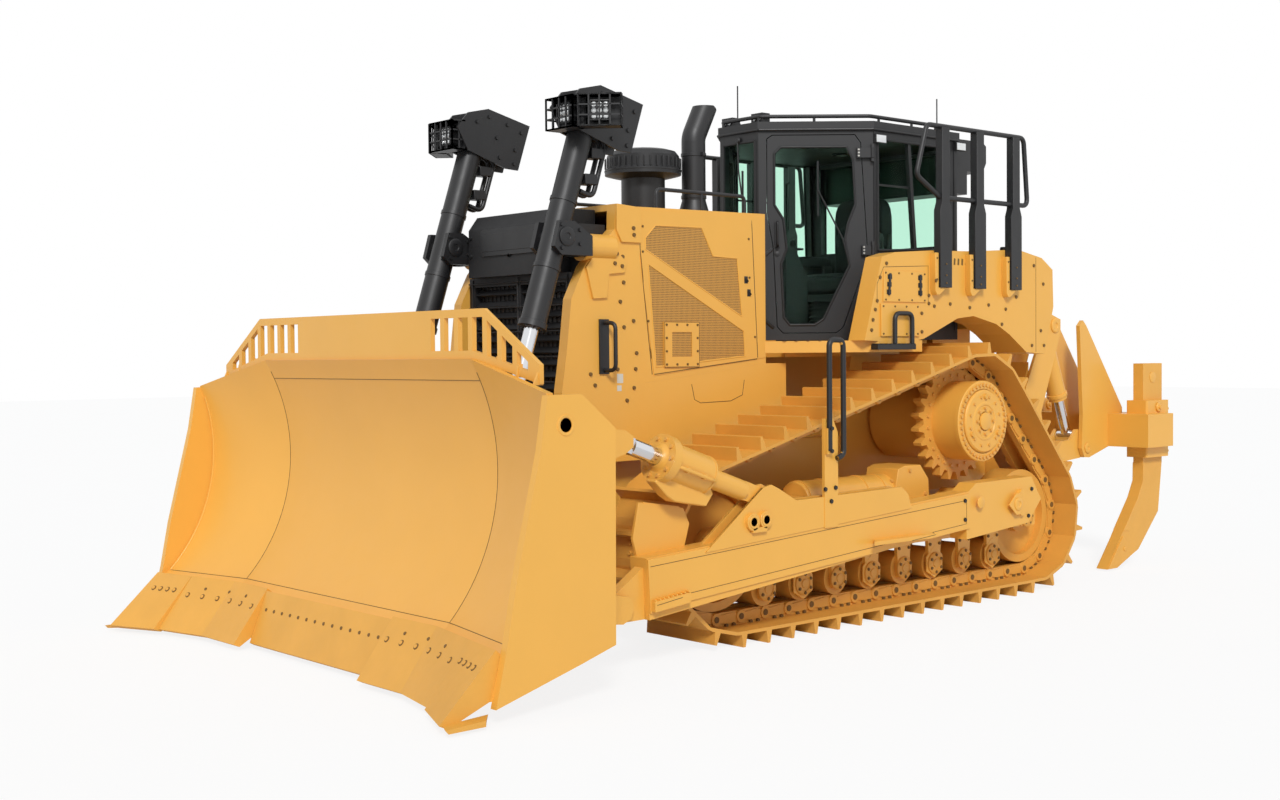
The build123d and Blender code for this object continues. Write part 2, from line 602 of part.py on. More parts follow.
# door outline in the plane of the door: (distance from the cab's front corner, height)
door_outline = [(62, 3320), (100, 3345), (690, 3345), (730, 3290), (775, 2528), (755, 2409), (600, 1975),
                (553, 1935), (171, 1935), (130, 1980), (106, 2534), (62, 2796)]
door_window = [(112, 3215), (160, 3262), (630, 3262), (676, 3170), (692, 2850), (640, 2719), (616, 2600),
               (648, 2411), (460, 2032), (398, 1990), (219, 1990), (175, 2046), (158, 2427), (199, 2533),
               (176, 2747), (112, 2850)]
side_window = [(690, 2520), (1540, 2560), (1520, 3320), (690, 3320)]
with BuildPart() as cab_frame:
    with BuildSketch(Plane.XY.offset(cab_floor_z)):
        Polygon(*cab_plan, align=None)
    extrude(amount=cab_eave_z - cab_floor_z)
    with BuildSketch(Plane.XY.offset(cab_floor_z + 50)):
        Polygon(*cab_plan, align=None)
        offset(amount=-cab_wall, kind=Kind.INTERSECTION)
    extrude(amount=cab_eave_z - cab_floor_z - 50 - 60, mode=Mode.SUBTRACT)
    for side in SIDES:
        with BuildSketch(door_face(side, 20)):
            Polygon(*handed(door_outline, side), align=None)
            offset(amount=swing, kind=Kind.INTERSECTION)
        extrude(amount=-cab_wall - 60, mode=Mode.SUBTRACT)
    with BuildSketch(Plane.YZ.offset(-cab_half_width - 10)):
        Polygon(*side_window, align=None)
    extrude(amount=2 * cab_half_width + 20, mode=Mode.SUBTRACT)
    with BuildSketch(Plane.XZ.offset(-cab_rear_y - 10)):
        with Locations((0, 2940)):
            Rectangle(1180, 700)
    extrude(amount=cab_wall + 30, mode=Mode.SUBTRACT)
    with BuildSketch(Plane.XZ.offset(-cab_front_y + 10)):
        with Locations((0, 2860)):
            Rectangle(2 * cab_front_half - 70, 900)
    extrude(amount=-cab_wall - 30, mode=Mode.SUBTRACT)
    # roof with a small overhang
    with BuildSketch(Plane.XY.offset(cab_eave_z)):
        Polygon(*cab_plan, align=None)
        offset(amount=14, kind=Kind.INTERSECTION)
    extrude(amount=cab_roof_thickness)
    # hinge pins held by tabs on the frame
    for side in SIDES:
        for z, root in hinge_spots:
            for tab in SIDES:
                with BuildSketch(door_face(side, -10)):
                    with Locations((side * hinge_s, z + tab * (hinge_knuckle / 2 + 14))):
                        Rectangle(20, 26)
                extrude(amount=door_hinge_out + 20)
            with BuildSketch(Plane.XY.offset(z - hinge_knuckle / 2 - 10)):
                with Locations(hinge_axis(side)):
                    Circle(hinge_pin_radius)
            extrude(amount=hinge_knuckle + 20)
finish(cab_frame, "cab_frame")

with BuildPart() as cab_glass:
    for side in SIDES:
        with BuildSketch(Plane.YZ.offset(side * (cab_half_width - 30))):
            Polygon(*side_window, align=None)
            offset(amount=-fit)
        extrude(amount=-side * glass_thickness)
    with BuildSketch(Plane.XZ.offset(-cab_rear_y + 30)):
        with Locations((0, 2940)):
            Rectangle(1180 - 2 * fit, 700 - 2 * fit)
    extrude(amount=glass_thickness)
    with BuildSketch(Plane.XZ.offset(-cab_front_y - 20)):
        with Locations((0, 2860)):
            Rectangle(2 * cab_front_half - 70 - 2 * fit, 900 - 2 * fit)
    extrude(amount=-glass_thickness)
finish(cab_glass, "cab_glass")

for side in SIDES:
    with BuildPart() as door:
        with BuildSketch(door_face(side)):
            Polygon(*handed(door_outline, side), align=None)
            Polygon(*handed(door_window, side), align=None, mode=Mode.SUBTRACT)
        extrude(amount=-door_thickness)
        # pull handle in front of the latch edge
        with BuildSketch(door_face(side, -2)):
            with Locations((side * 130, 2640)):
                Rectangle(34, 180)
        extrude(amount=22)
        # hinge knuckles with their leaves
        for z, root in hinge_spots:
            with BuildSketch(door_face(side, door_hinge_out - 8)):
                with Locations((side * (root + hinge_s) / 2, z)):
                    Rectangle(hinge_s - root, hinge_knuckle)
            extrude(amount=16)
            with BuildSketch(door_face(side, -5)):
                with Locations((side * (root + 15), z)):
                    Rectangle(30, hinge_knuckle)
            extrude(amount=door_hinge_out)
            with BuildSketch(Plane.XY.offset(z - hinge_knuckle / 2)):
                with Locations(hinge_axis(side)):
                    Circle(hinge_pin_radius + 8)
            extrude(amount=hinge_knuckle)
            with BuildSketch(Plane.XY.offset(z - hinge_knuckle / 2 - 1)):
                with Locations(hinge_axis(side)):
                    Circle(hinge_pin_radius + 0.1)
            extrude(amount=hinge_knuckle + 2, mode=Mode.SUBTRACT)
    finish(door, f"door_{SIDE_NAMES[side]}")
    with BuildPart() as door_glass:
        with BuildSketch(door_face(side, -20)):
            Polygon(*handed(door_window, side), align=None)
            offset(amount=-fit)
        extrude(amount=-glass_thickness)
    finish(door_glass, f"door_glass_{SIDE_NAMES[side]}")

cab_floor_top = cab_floor_z + 50
with BuildPart() as operator_seat:
    with BuildSketch(Plane.XY.offset(cab_floor_top + fit)):
        with Locations((0, 1120)):
            Rectangle(420, 420)
    extrude(amount=300)
    with BuildSketch(Plane.XY.offset(cab_floor_top + 300)):
        with Locations((0, 1110)):
            RectangleRounded(540, 540, 60)
    extrude(amount=130)
    with BuildSketch(Plane.YZ.offset(-250)):
        Polygon((1300, cab_floor_top + 380), (1420, cab_floor_top + 380), (1490, cab_floor_top + 1060),
                (1390, cab_floor_top + 1060), align=None)
    extrude(amount=500)
    for side in SIDES:
        with BuildSketch(Plane.YZ.offset(side * 268)):
            Polygon((930, cab_floor_top + 520), (1340, cab_floor_top + 520), (1340, cab_floor_top + 620),
                    (930, cab_floor_top + 600), align=None)
        extrude(amount=side * 110)
        with BuildSketch(Plane.YZ.offset(side * 240)):
            Polygon((1150, cab_floor_top + 420), (1300, cab_floor_top + 420), (1300, cab_floor_top + 560),
                    (1150, cab_floor_top + 540), align=None)
        extrude(amount=side * 60)
finish(operator_seat, "operator_seat")

with BuildPart() as operator_console:
    with BuildSketch(Plane.YZ.offset(-170)):
        Polygon((330, cab_floor_top + fit), (560, cab_floor_top + fit), (560, cab_floor_top + 420),
                (430, cab_floor_top + 620), (330, cab_floor_top + 620), align=None)
    extrude(amount=340)
    for side in SIDES:
        with BuildSketch(Plane.XY.offset(cab_floor_top + fit)):
            with Locations((side * 440, 1180)):
                Rectangle(110, 420)
        extrude(amount=520)
        with BuildSketch(Plane.XY.offset(cab_floor_top + 500)):
            with Locations((side * 440, 1060)):
                Circle(24)
        extrude(amount=170)
finish(operator_console, "operator_console")

# ---- fenders, tank, rails -----------------------------------------------------------------
fender_outline = [(fender_box_front_y, platform_z), (285, 2445), (429, 2479), (820, 2505), (1270, 2516),
                  (1870, 2551), (2182, 2499), (2328, 2413), (2339, 2128), (2225, 1765), (1981, 1779),
                  (1760, 1915), (1596, 1990), (1319, 2047), (1128, 2027), (741, 1881), (553, 1852)]
rear_outline = [point for point in fender_outline if point[0] > fender_walk_y]
post_ys = [910.0, 1303.0, 1744.0]
for side in SIDES:
    with BuildPart() as fender:
        with BuildSketch(Plane.YZ.offset(side * fender_front_inner)):
            Polygon(*fender_outline, align=None)
        extrude(amount=side * (fender_outer - fender_front_inner))
        with BuildSketch(Plane.YZ.offset(side * fender_inner)):
            Polygon((fender_walk_y, 2498), *rear_outline, (fender_walk_y, 1875), align=None)
        extrude(amount=side * (fender_front_inner - fender_inner + 5))
        # entry platform with its edge parallel to the door
        with BuildSketch(Plane.XY.offset(platform_z)):
            Polygon((side * (hood_half_width + fit), hood_rear_y - 10), (side * fender_outer, 245),
                    (side * fender_outer, fender_walk_y), (side * (base_half_width + fit), fender_walk_y),
                    (side * (base_half_width + fit), 260),
                    (side * (hood_half_width - 20 + fit), hood_rear_y + 1),
                    (side * (hood_half_width + fit), hood_rear_y + 1), align=None)
        extrude(amount=-platform_thickness)
    finish(fender, f"fender_{SIDE_NAMES[side]}")

with BuildPart() as fuel_tank:
    with BuildSketch(Plane.YZ.offset(-tank_half_width)):
        Polygon((cab_rear_y + 60, 1960), (2240, 1960), (2240, 2420), (2180, 2480), (cab_rear_y + 60, 2480),
                align=None)
    extrude(amount=2 * tank_half_width)
    for x, y in ((330, 2080), (-330, 2080)):
        with BuildSketch(Plane.XY.offset(2480 - 1)):
            with Locations((x, y)):
                Circle(70)
        extrude(amount=60)
    # saddle down to the rear case
    with BuildSketch(Plane.XY.offset(1760 + fit)):
        with Locations((0, 1950)):
            Rectangle(860, 480)
    extrude(amount=200)
finish(fuel_tank, "fuel_tank")

with BuildPart() as cab_base:
    with BuildSketch(Plane.XY.offset(1760 + fit)):
        with Locations((0, 800)):
            Rectangle(2 * base_half_width, 1600)
    extrude(amount=cab_floor_z - 1760 - 2 * fit)
    # cowl between the hood and the front of the cab
    with BuildSketch(Plane.XY.offset(hood_sill_rear_z + fit)):
        Polygon((-hood_half_width + 20, hood_rear_y + fit), (hood_half_width - 20, hood_rear_y + fit),
                (cab_front_half, cab_front_y - fit), (-cab_front_half, cab_front_y - fit), align=None)
    extrude(amount=hood_rear_z - hood_sill_rear_z - 340)
finish(cab_base, "cab_base")

with BuildPart() as deck_rails:
    for side in SIDES:
        for y in post_ys:
            with BuildSketch(Plane.XY.offset(2274)):
                with Locations((side * (fender_outer + fit + 30), y)):
                    Rectangle(60, 95)
            extrude(amount=3372 - 2274)
        rail_x = side * (fender_outer + 30)
        add(pipe([(rail_x, 878, 2884), (rail_x, 610, 3030), (rail_x, 690, 3386), (rail_x, 1855, 3386),
                  (rail_x, 1897, 2888), (rail_x, 1700, 2888)], 18, 55))
        with BuildSketch(Plane.XZ.offset(-870)):
            with Locations((rail_x, 2888)):
                Circle(18)
        extrude(amount=-870)
finish(deck_rails, "deck_rails")

with BuildPart() as ac_unit:
    with BuildSketch(Plane.YZ.offset(-650)):
        Polygon((cab_rear_y + fit, 3000), (1860, 3000), (1860, 3180), (2060, 3180), (2107, 3260),
                (2107, 3390), (2060, 3420), (cab_rear_y + 40, 3420), (cab_rear_y + 40, cab_eave_z - 1),
                (cab_rear_y + fit, cab_eave_z - 1), align=None)
    extrude(amount=1300)
finish(ac_unit, "ac_unit")

with BuildPart() as work_lamps:
    for side in SIDES:
        with BuildSketch(Plane.XY.offset(cab_eave_z + cab_roof_thickness + fit)):
            with Locations((side * 150, 90)):
                Rectangle(110, 80)
        extrude(amount=70)
        with BuildSketch(Plane.XZ.offset(-2107 - fit)):
            with Locations((side * 480, 3320)):
                Rectangle(150, 90)
        extrude(amount=-60)
finish(work_lamps, "work_lamps")

with BuildPart() as antennas:
    for x, y, z0, z1 in ((-150, 160, cab_eave_z + cab_roof_thickness + fit, 3760),
                         (640, 1500, cab_eave_z + cab_roof_thickness + fit, 3700)):
        with BuildSketch(Plane.XY.offset(z0)):
            with Locations((x, y)):
                Circle(5)
        extrude(amount=z1 - z0)
        with BuildSketch(Plane.XY.offset(z0)):
            with Locations((x, y)):
                Circle(22)
        extrude(amount=40)
finish(antennas, "antennas")

# ---- push arms -----------------------------------------------------------------------------
arm_middle = (arm_inner + arm_outer) / 2
arm_outline = [(-2264, 647), (700, 828), (784, 880), (1440, 889), (1560, 720), (1400, 560), (676, 500),
               (676, 590), (-2245, 298)]
nose_half = 34.0
lug_gap, lug_plate = 6.0, 36.0
tilt_eye_half, tilt_plate = 28.0, 20.0
for side in SIDES:
    with BuildPart() as push_arm:
        with BuildSketch(Plane.YZ.offset(side * arm_inner)):
            Polygon(*arm_outline, align=None)
        extrude(amount=side * (arm_outer - arm_inner))
        # nose that takes the pitch pin
        with BuildSketch(Plane.YZ.offset(side * (arm_middle - nose_half))):
            Polygon((-2250, 600), (-2500, 440), (pitch_pin_y, pitch_pin_z - 85), (-2250, 300), align=None)
            with Locations((pitch_pin_y, pitch_pin_z)):
                Circle(85)
        extrude(amount=side * 2 * nose_half)
        with BuildSketch(Plane.YZ.offset(side * (arm_middle - nose_half - 1))):
            with Locations((pitch_pin_y, pitch_pin_z)):
                Circle(pitch_pin_radius + pin_fit)
        extrude(amount=side * (2 * nose_half + 2), mode=Mode.SUBTRACT)
        # socket round the trunnion
        with BuildSketch(Plane.YZ.offset(side * (arm_inner - 1))):
            with Locations((trunnion_y, trunnion_z)):
                Circle(trunnion_radius + pin_fit)
        extrude(amount=side * (arm_outer - arm_inner - 14), mode=Mode.SUBTRACT)
        with BuildSketch(Plane.YZ.offset(side * arm_outer)):
            with Locations((trunnion_y, trunnion_z)):
                RectangleRounded(150, 150, 30, rotation=45)
        extrude(amount=side * 28)
        # bracket for the tilt cylinder's head pin
        for face in SIDES:
            with BuildSketch(Plane.YZ.offset(side * tilt_x + face * (tilt_eye_half + lug_gap))):
                Polygon((-1820, 640), (-1340, 985), (-1270, 1000), (-1200, 970), (-1050, 850), (-820, 800),
                        (-700, 720), align=None)
            extrude(amount=face * tilt_plate)
        with BuildSketch(Plane.YZ.offset(side * tilt_x - tilt_eye_half - lug_gap - tilt_plate)):
            with Locations((tilt_head_y, tilt_head_z)):
                Circle(38)
        extrude(amount=2 * (tilt_eye_half + lug_gap + tilt_plate))
        # upright that carries the grab loop
        with BuildSketch(Plane.YZ.offset(side * arm_outer)):
            Polygon((-797, 700), (-672, 700), (-672, 1290), (-720, 1380), (-797, 1380), align=None)
        extrude(amount=side * 22)
        loop_x = side * (arm_outer + 40)
        add(pipe([(loop_x, -770, 1180), (loop_x, -770, 1868), (loop_x, -640, 1868), (loop_x, -640, 1150),
                  (loop_x, -700, 1130)], 16, 45))
        with BuildSketch(Plane.YZ.offset(side * (arm_outer + 10))):
            with Locations((-770, 1240)):
                Rectangle(50, 160)
        extrude(amount=side * 34)
        # step plate on the lower edge
        with BuildSketch(Plane.XY.offset(560)):
            Polygon((side * (arm_outer - 10), -290), (side * 1600, -400), (side * 1600, 235),
                    (side * (arm_outer - 10), 115), align=None)
        extrude(amount=25)
        # deflector in front of the track
        with BuildSketch(Plane.YZ.offset(side * (arm_inner + 5))):
            Polygon((-2240, 600), (-2180, 950), (-1900, 905), (-1940, 630), align=None)
        extrude(amount=side * 16)
    finish(push_arm, f"push_arm_{SIDE_NAMES[side]}")


# ---- blade ------------------------------------------------------------------------------------
def mold_face(z, depth=0.0, lead=0.0):
    """Y of the moldboard's face at height z, at a depth behind it, led forward by a wing."""
    return mold_centre_y + sqrt((mold_radius + depth) ** 2 - (z - mold_centre_z) ** 2) - lead


def wing_share(x):
    """Share of the wing's lead at distance x from the middle."""
    return max(0.0, (abs(x) - crease_x) / (blade_half_width - crease_x))


def mold_section(top_z, lead):
    """Closed section of the moldboard's skin: front arc, lower edge, back arc, top edge."""
    middle_z = (top_z + mold_bottom_z) / 2
    front = [(mold_face(z, 0, lead), z) for z in (top_z, middle_z, mold_bottom_z)]
    back = [(mold_face(z, mold_skin, lead), z) for z in (mold_bottom_z, middle_z, top_z)]
    return front, back


def back_strip(heights, lead):
    """Points just inside the skin's back, to join a rib or a box to it."""
    return [(mold_face(z, mold_skin - 8, lead), z) for z in heights]


lip_y, lip_top_z, lip_bottom_z = mold_face(mold_bottom_z), mold_bottom_z + 4, 118.0
lip_rake = 76.0                       # how far the lip's foot stands before its top


def lip_section(lead):
    """Section of the lip that the cutting edges are bolted to."""
    y = lip_y - lead
    return [(y, lip_top_z), (y + 42, lip_top_z), (y - lip_rake + 46, lip_bottom_z),
            (y - lip_rake, lip_bottom_z)]


wing_x = 1600.0
rib_xs = (150.0, 400.0, 800.0, 1100.0)
with BuildPart() as blade_moldboard:
    front, back = mold_section(mold_top_z, 0)
    with BuildSketch(Plane.YZ.offset(-crease_x)):
        with BuildLine():
            ThreePointArc(*front)
            Line(front[2], back[0])
            ThreePointArc(*back)
            Line(back[2], front[0])
        make_face()
    extrude(amount=2 * crease_x)
    for side in SIDES:
        for x, top_z, lead in ((crease_x, mold_top_z, 0), (blade_half_width, mold_wing_top_z, wing_lead)):
            front, back = mold_section(top_z, lead)
            with BuildSketch(Plane.YZ.offset(side * x)):
                with BuildLine():
                    ThreePointArc(*front)
                    Line(front[2], back[0])
                    ThreePointArc(*back)
                    Line(back[2], front[0])
                make_face()
        loft(ruled=True)
        for x, lead in ((crease_x, 0), (blade_half_width, wing_lead)):
            with BuildSketch(Plane.YZ.offset(side * x)):
                Polygon(*lip_section(lead), align=None)
        loft(ruled=True)
    with BuildSketch(Plane.YZ.offset(-crease_x)):
        Polygon(*lip_section(0), align=None)
    extrude(amount=2 * crease_x)
    # box beams behind the skin
    with BuildSketch(Plane.YZ.offset(-crease_x)):
        Polygon(*back_strip((1560, 1650, 1740), 0), (-2960, 1740), (-2900, 1560), align=None)
        Polygon(*back_strip((420, 530, 640, 760), 0), (-2850, 760), (-2850, 560), (-2900, 420), align=None)
    extrude(amount=2 * crease_x)
    for side in SIDES:
        for x in (crease_x, wing_x):
            lead = wing_lead * wing_share(x)
            with BuildSketch(Plane.YZ.offset(side * x)):
                Polygon(*back_strip((420, 530, 640, 760), lead), (-2850, 760), (-2850, 560), (-2900, 420),
                        align=None)
        loft(ruled=True)
        for x in rib_xs:
            with BuildSketch(Plane.YZ.offset(side * x - 12)):
                Polygon(*back_strip((740, 960, 1160, 1360, 1580), 0), (-2905, 1580), (-2850, 1160),
                        (-2850, 740), align=None)
            extrude(amount=24)
        # lugs beside the lift rod's eye
        for face in SIDES:
            with BuildSketch(Plane.YZ.offset(side * lift_x + face * (lift_eye_half + lug_gap))):
                Polygon(*back_strip((740, 860, 980, 1100, 1200), 0), (lift_eye_y - 20, lift_eye_z + 78),
                        (lift_eye_y + 50, lift_eye_z + 60), (lift_eye_y + 78, lift_eye_z),
                        (lift_eye_y + 50, lift_eye_z - 60), (lift_eye_y, lift_eye_z - 78), (-2850, 740),
                        align=None)
            extrude(amount=face * 34)
        # lugs and pin for the push arm
        for face in SIDES:
            with BuildSketch(Plane.YZ.offset(side * arm_middle + face * (nose_half + lug_gap))):
                Polygon((-2860, 425), (-2860, 755), (-2520, 470), (pitch_pin_y + 60, pitch_pin_z + 60),
                        (pitch_pin_y + 80, pitch_pin_z), (pitch_pin_y + 60, pitch_pin_z - 60),
                        (pitch_pin_y, pitch_pin_z - 85), (-2700, 330), (-2905, 425), align=None)
            extrude(amount=face * lug_plate)
        with BuildSketch(Plane.YZ.offset(side * arm_middle - nose_half - lug_gap - lug_plate)):
            with Locations((pitch_pin_y, pitch_pin_z)):
                Circle(pitch_pin_radius)
        extrude(amount=2 * (nose_half + lug_gap + lug_plate))
        # lugs beside the tilt rod's eye
        lead = wing_lead * wing_share(tilt_x + 90)
        for face in SIDES:
            with BuildSketch(Plane.YZ.offset(side * tilt_x + face * (tilt_eye_half + lug_gap))):
                Polygon(*back_strip((1080, 1200, 1320, 1440), lead - 20), (tilt_eye_y, tilt_eye_z + 66),
                        (tilt_eye_y + 60, tilt_eye_z + 30), (tilt_eye_y + 60, tilt_eye_z - 30),
                        (tilt_eye_y, tilt_eye_z - 66), align=None)
            extrude(amount=face * tilt_plate)
finish(blade_moldboard, "blade_moldboard")

end_outline = [(-3293, 1591), (-3076, 1593), (-2855, 1413), (-2865, 301), (-3091, 234), (-3628, 85),
               (-3552, 399), (-3496, 686), (-3339, 1313)]
tie_hole = (-3180.0, 1440.0)
tie_hole_radius = 36.0
with BuildPart() as blade_end_plates:
    for side in SIDES:
        with BuildSketch(Plane.YZ.offset(side * (blade_half_width + fit))):
            Polygon(*end_outline, align=None)
            with Locations(tie_hole):
                Circle(tie_hole_radius, mode=Mode.SUBTRACT)
        extrude(amount=side * end_plate)
finish(blade_end_plates, "blade_end_plates")

center_edge_half, side_edge_x, edge_bottom = 712.0, 1560.0, 25.0
edge_top = (lip_y - 0.35, lip_top_z)
edge_heel = (lip_y - lip_rake - 0.35, lip_bottom_z)
with BuildPart() as cutting_edges:
    with BuildSketch(Plane.YZ.offset(-center_edge_half + 1)):
        Polygon((edge_top[0], edge_top[1]), (edge_top[0] - 45, edge_top[1] + 16), (-3545, 42),
                (-3515, edge_bottom), edge_heel, align=None)
    extrude(amount=2 * center_edge_half - 2)
    for side in SIDES:
        for x in (center_edge_half + 1, crease_x):
            with BuildSketch(Plane.YZ.offset(side * x)):
                Polygon((edge_top[0], edge_top[1]), (edge_top[0] - 36, edge_top[1] + 30), (-3652, 44),
                        (-3612, edge_bottom), edge_heel, align=None)
        loft(ruled=True)
        for x in (crease_x, side_edge_x):
            lead = wing_lead * wing_share(x)
            with BuildSketch(Plane.YZ.offset(side * x)):
                Polygon((edge_top[0] - lead, edge_top[1]), (edge_top[0] - 36 - lead, edge_top[1] + 30),
                        (-3652 - lead, 44), (-3612 - lead, edge_bottom),
                        (edge_heel[0] - lead, edge_heel[1]), align=None)
        loft(ruled=True)
        for x, tip in ((side_edge_x + 2, -3760), (blade_half_width - 2, -3905)):
            lead = wing_lead * wing_share(x)
            with BuildSketch(Plane.YZ.offset(side * x)):
                Polygon((edge_top[0] - lead, edge_top[1]), (edge_top[0] - 36 - lead, edge_top[1] + 30),
                        (tip - 20, 48), (tip + 30, edge_bottom), (edge_heel[0] - lead, edge_heel[1]),
                        align=None)
        loft(ruled=True)
        # end bit wraps the end plate's foot
        with BuildSketch(Plane.YZ.offset(side * (blade_half_width - 3))):
            Polygon((-3640, 60), (-3905, 48), (-3875, edge_bottom), (-3650, edge_bottom), align=None)
        with BuildSketch(Plane.YZ.offset(side * 1967)):
            Polygon((-3700, 50), (-3934, 40), (-3915, edge_bottom - 5), (-3700, edge_bottom - 5), align=None)
        loft(ruled=True)
finish(cutting_edges, "cutting_edges")

guard_y, guard_thick, guard_end_x, guard_top_x = -3165.0, 28.0, 1721.0, 1238.0
guard_top_z, guard_end_z, guard_rim = 2041.0, 1741.0, 45.0
guard_solid_half, slat_pitch, slat_gap, slat_count = 702.0, 132.0, 92.0, 7


def mold_edge_z(x):
    """Height of the moldboard's top edge at distance x from the middle."""
    return mold_top_z - (mold_top_z - mold_wing_top_z) * wing_share(x)


def guard_edge_z(x):
    """Height of the rock guard's top edge at distance x from the middle."""
    drop = (guard_top_z - guard_end_z) / (guard_end_x - guard_top_x)
    return guard_top_z - max(0.0, x - guard_top_x) * drop


with BuildPart() as rock_guard:
    with BuildSketch(Plane.XZ.offset(-guard_y)):
        for side in SIDES:
            Polygon((0, mold_top_z + fit), (0, guard_top_z), (side * guard_top_x, guard_top_z),
                    (side * guard_end_x, guard_end_z), (side * guard_end_x, mold_edge_z(guard_end_x) + fit),
                    (side * crease_x, mold_top_z + fit), align=None)
            for i in range(slat_count):
                inner = guard_solid_half + slat_pitch - slat_gap + i * slat_pitch
                outer = inner + slat_gap
                Polygon((side * inner, mold_edge_z(inner) + guard_rim),
                        (side * outer, mold_edge_z(outer) + guard_rim),
                        (side * outer, guard_edge_z(outer) - guard_rim),
                        (side * inner, guard_edge_z(inner) - guard_rim), align=None, mode=Mode.SUBTRACT)
    extrude(amount=-guard_thick)
    # gussets from the wings' backs
    for side in SIDES:
        for x in (1350.0, 1530.0, 1700.0):
            z = mold_edge_z(x)
            skin_y = mold_face(z, mold_skin, wing_lead * wing_share(x)) + 2
            with BuildSketch(Plane.YZ.offset(side * x)):
                Polygon((skin_y, z - 10), (guard_y + guard_thick, z - 10), (guard_y + guard_thick, z + 60),
                        (guard_y + 2, z + 60), align=None)
            extrude(amount=side * 16)
finish(rock_guard, "rock_guard")

# ---- blade cylinders --------------------------------------------------------------------------
tilt_head = (tilt_head_y, tilt_head_z)
tilt_eye = (tilt_eye_y, tilt_eye_z)
tilt_length = distance(tilt_head, tilt_eye)
tilt_neck, tilt_barrel_start, tilt_barrel_end = 220.0, 540.0, 915.0
with BuildPart() as tilt_barrels:
    for side in SIDES:
        middle = side * tilt_x
        with BuildSketch(Plane.YZ.offset(middle - tilt_eye_half)):
            with Locations(tilt_head):
                Circle(66)
        extrude(amount=2 * tilt_eye_half)
        with BuildSketch(axis_plane(middle, tilt_head, tilt_eye, along=30)):
            Rectangle(2 * tilt_eye_half, 112)
        extrude(amount=tilt_neck - 30)
        with BuildSketch(axis_plane(middle, tilt_head, tilt_eye, along=tilt_neck - 10)):
            Circle(60)
        extrude(amount=tilt_barrel_start - tilt_neck + 10)
        with BuildSketch(axis_plane(middle, tilt_head, tilt_eye, along=tilt_barrel_start)):
            Circle(115)
        extrude(amount=tilt_barrel_end - tilt_barrel_start - 60)
        with BuildSketch(axis_plane(middle, tilt_head, tilt_eye, along=tilt_barrel_end - 60)):
            Circle(140)
        extrude(amount=60)
        with BuildSketch(axis_plane(middle, tilt_head, tilt_eye, along=260)):
            Circle(50 + pin_fit)
        extrude(amount=tilt_barrel_end, mode=Mode.SUBTRACT)
        with BuildSketch(Plane.YZ.offset(middle - tilt_eye_half - 1)):
            with Locations(tilt_head):
                Circle(38 + pin_fit)
        extrude(amount=2 * tilt_eye_half + 2, mode=Mode.SUBTRACT)
finish(tilt_barrels, "tilt_barrels")

with BuildPart() as tilt_rods:
    for side in SIDES:
        middle = side * tilt_x
        with BuildSketch(Plane.YZ.offset(middle - tilt_eye_half)):
            with Locations(tilt_eye):
                Circle(64)
        extrude(amount=2 * tilt_eye_half)
        with BuildSketch(axis_plane(middle, tilt_head, tilt_eye, along=420)):
            Circle(50)
        extrude(amount=tilt_length - 420 - 85)
        with BuildSketch(axis_plane(middle, tilt_head, tilt_eye, along=tilt_length - 90)):
            Rectangle(2 * tilt_eye_half, 90)
        extrude(amount=70)
finish(tilt_rods, "tilt_rods")

lift_head = (lift_trunnion_y, lift_trunnion_z)
lift_eye = (lift_eye_y, lift_eye_z)
lift_length = distance(lift_head, lift_eye)
with BuildPart() as lift_barrels:
    for side in SIDES:
        middle = side * lift_x
        with BuildSketch(axis_plane(middle, lift_head, lift_eye, along=-lift_barrel_above)):
            Circle(lift_barrel_radius)
        extrude(amount=lift_barrel_above + lift_barrel_below)
        with BuildSketch(axis_plane(middle, lift_head, lift_eye, along=-lift_barrel_above + 25)):
            Circle(lift_bore_radius)
        extrude(amount=lift_barrel_above + lift_barrel_below - 25 - 70, mode=Mode.SUBTRACT)
        with BuildSketch(axis_plane(middle, lift_head, lift_eye, along=lift_barrel_below - 71)):
            Circle(lift_rod_radius + pin_fit)
        extrude(amount=90, mode=Mode.SUBTRACT)
        for face in SIDES:
            with BuildSketch(Plane.YZ.offset(middle + face * (lift_barrel_radius - 14))):
                with Locations(lift_head):
                    Circle(46)
            extrude(amount=face * (swing + yoke_cheek + 14))
finish(lift_barrels, "lift_barrels")

head_plate, head_gap = 14.0, lift_barrel_radius + fit
head_outline = [(-2110, 3300), (-2020, 3400), (-1858, 3437), (-1512, 3352), (-1615, 3044), (-1720, 3050),
                (-2027, 3150)]
with BuildPart() as lamp_heads:
    for side in SIDES:
        for face in SIDES:
            with BuildSketch(Plane.YZ.offset(side * lift_x + face * head_gap)):
                Polygon(*head_outline, align=None)
            extrude(amount=face * head_plate)
            with BuildSketch(Plane.XY.offset(3270)):
                with Locations((side * lift_x + face * 120, -2140)):
                    Rectangle(150, 90)
            extrude(amount=110)
        with BuildSketch(Plane.YZ.offset(side * lift_x - head_gap - 1)):
            Polygon((-1700, 3398), (-1512, 3352), (-1600, 3090), (-1690, 3090), align=None)
        extrude(amount=2 * head_gap + 2)
finish(lamp_heads, "lamp_heads")

lift_rod_length = 1610.0
with BuildPart() as lift_rods:
    for side in SIDES:
        middle = side * lift_x
        with BuildSketch(Plane.YZ.offset(middle - lift_eye_half)):
            with Locations(lift_eye):
                Circle(80)
        extrude(amount=2 * lift_eye_half)
        with BuildSketch(axis_plane(middle, lift_head, lift_eye, along=lift_length - lift_rod_length)):
            Circle(lift_rod_radius)
        extrude(amount=lift_rod_length - 40)
finish(lift_rods, "lift_rods")

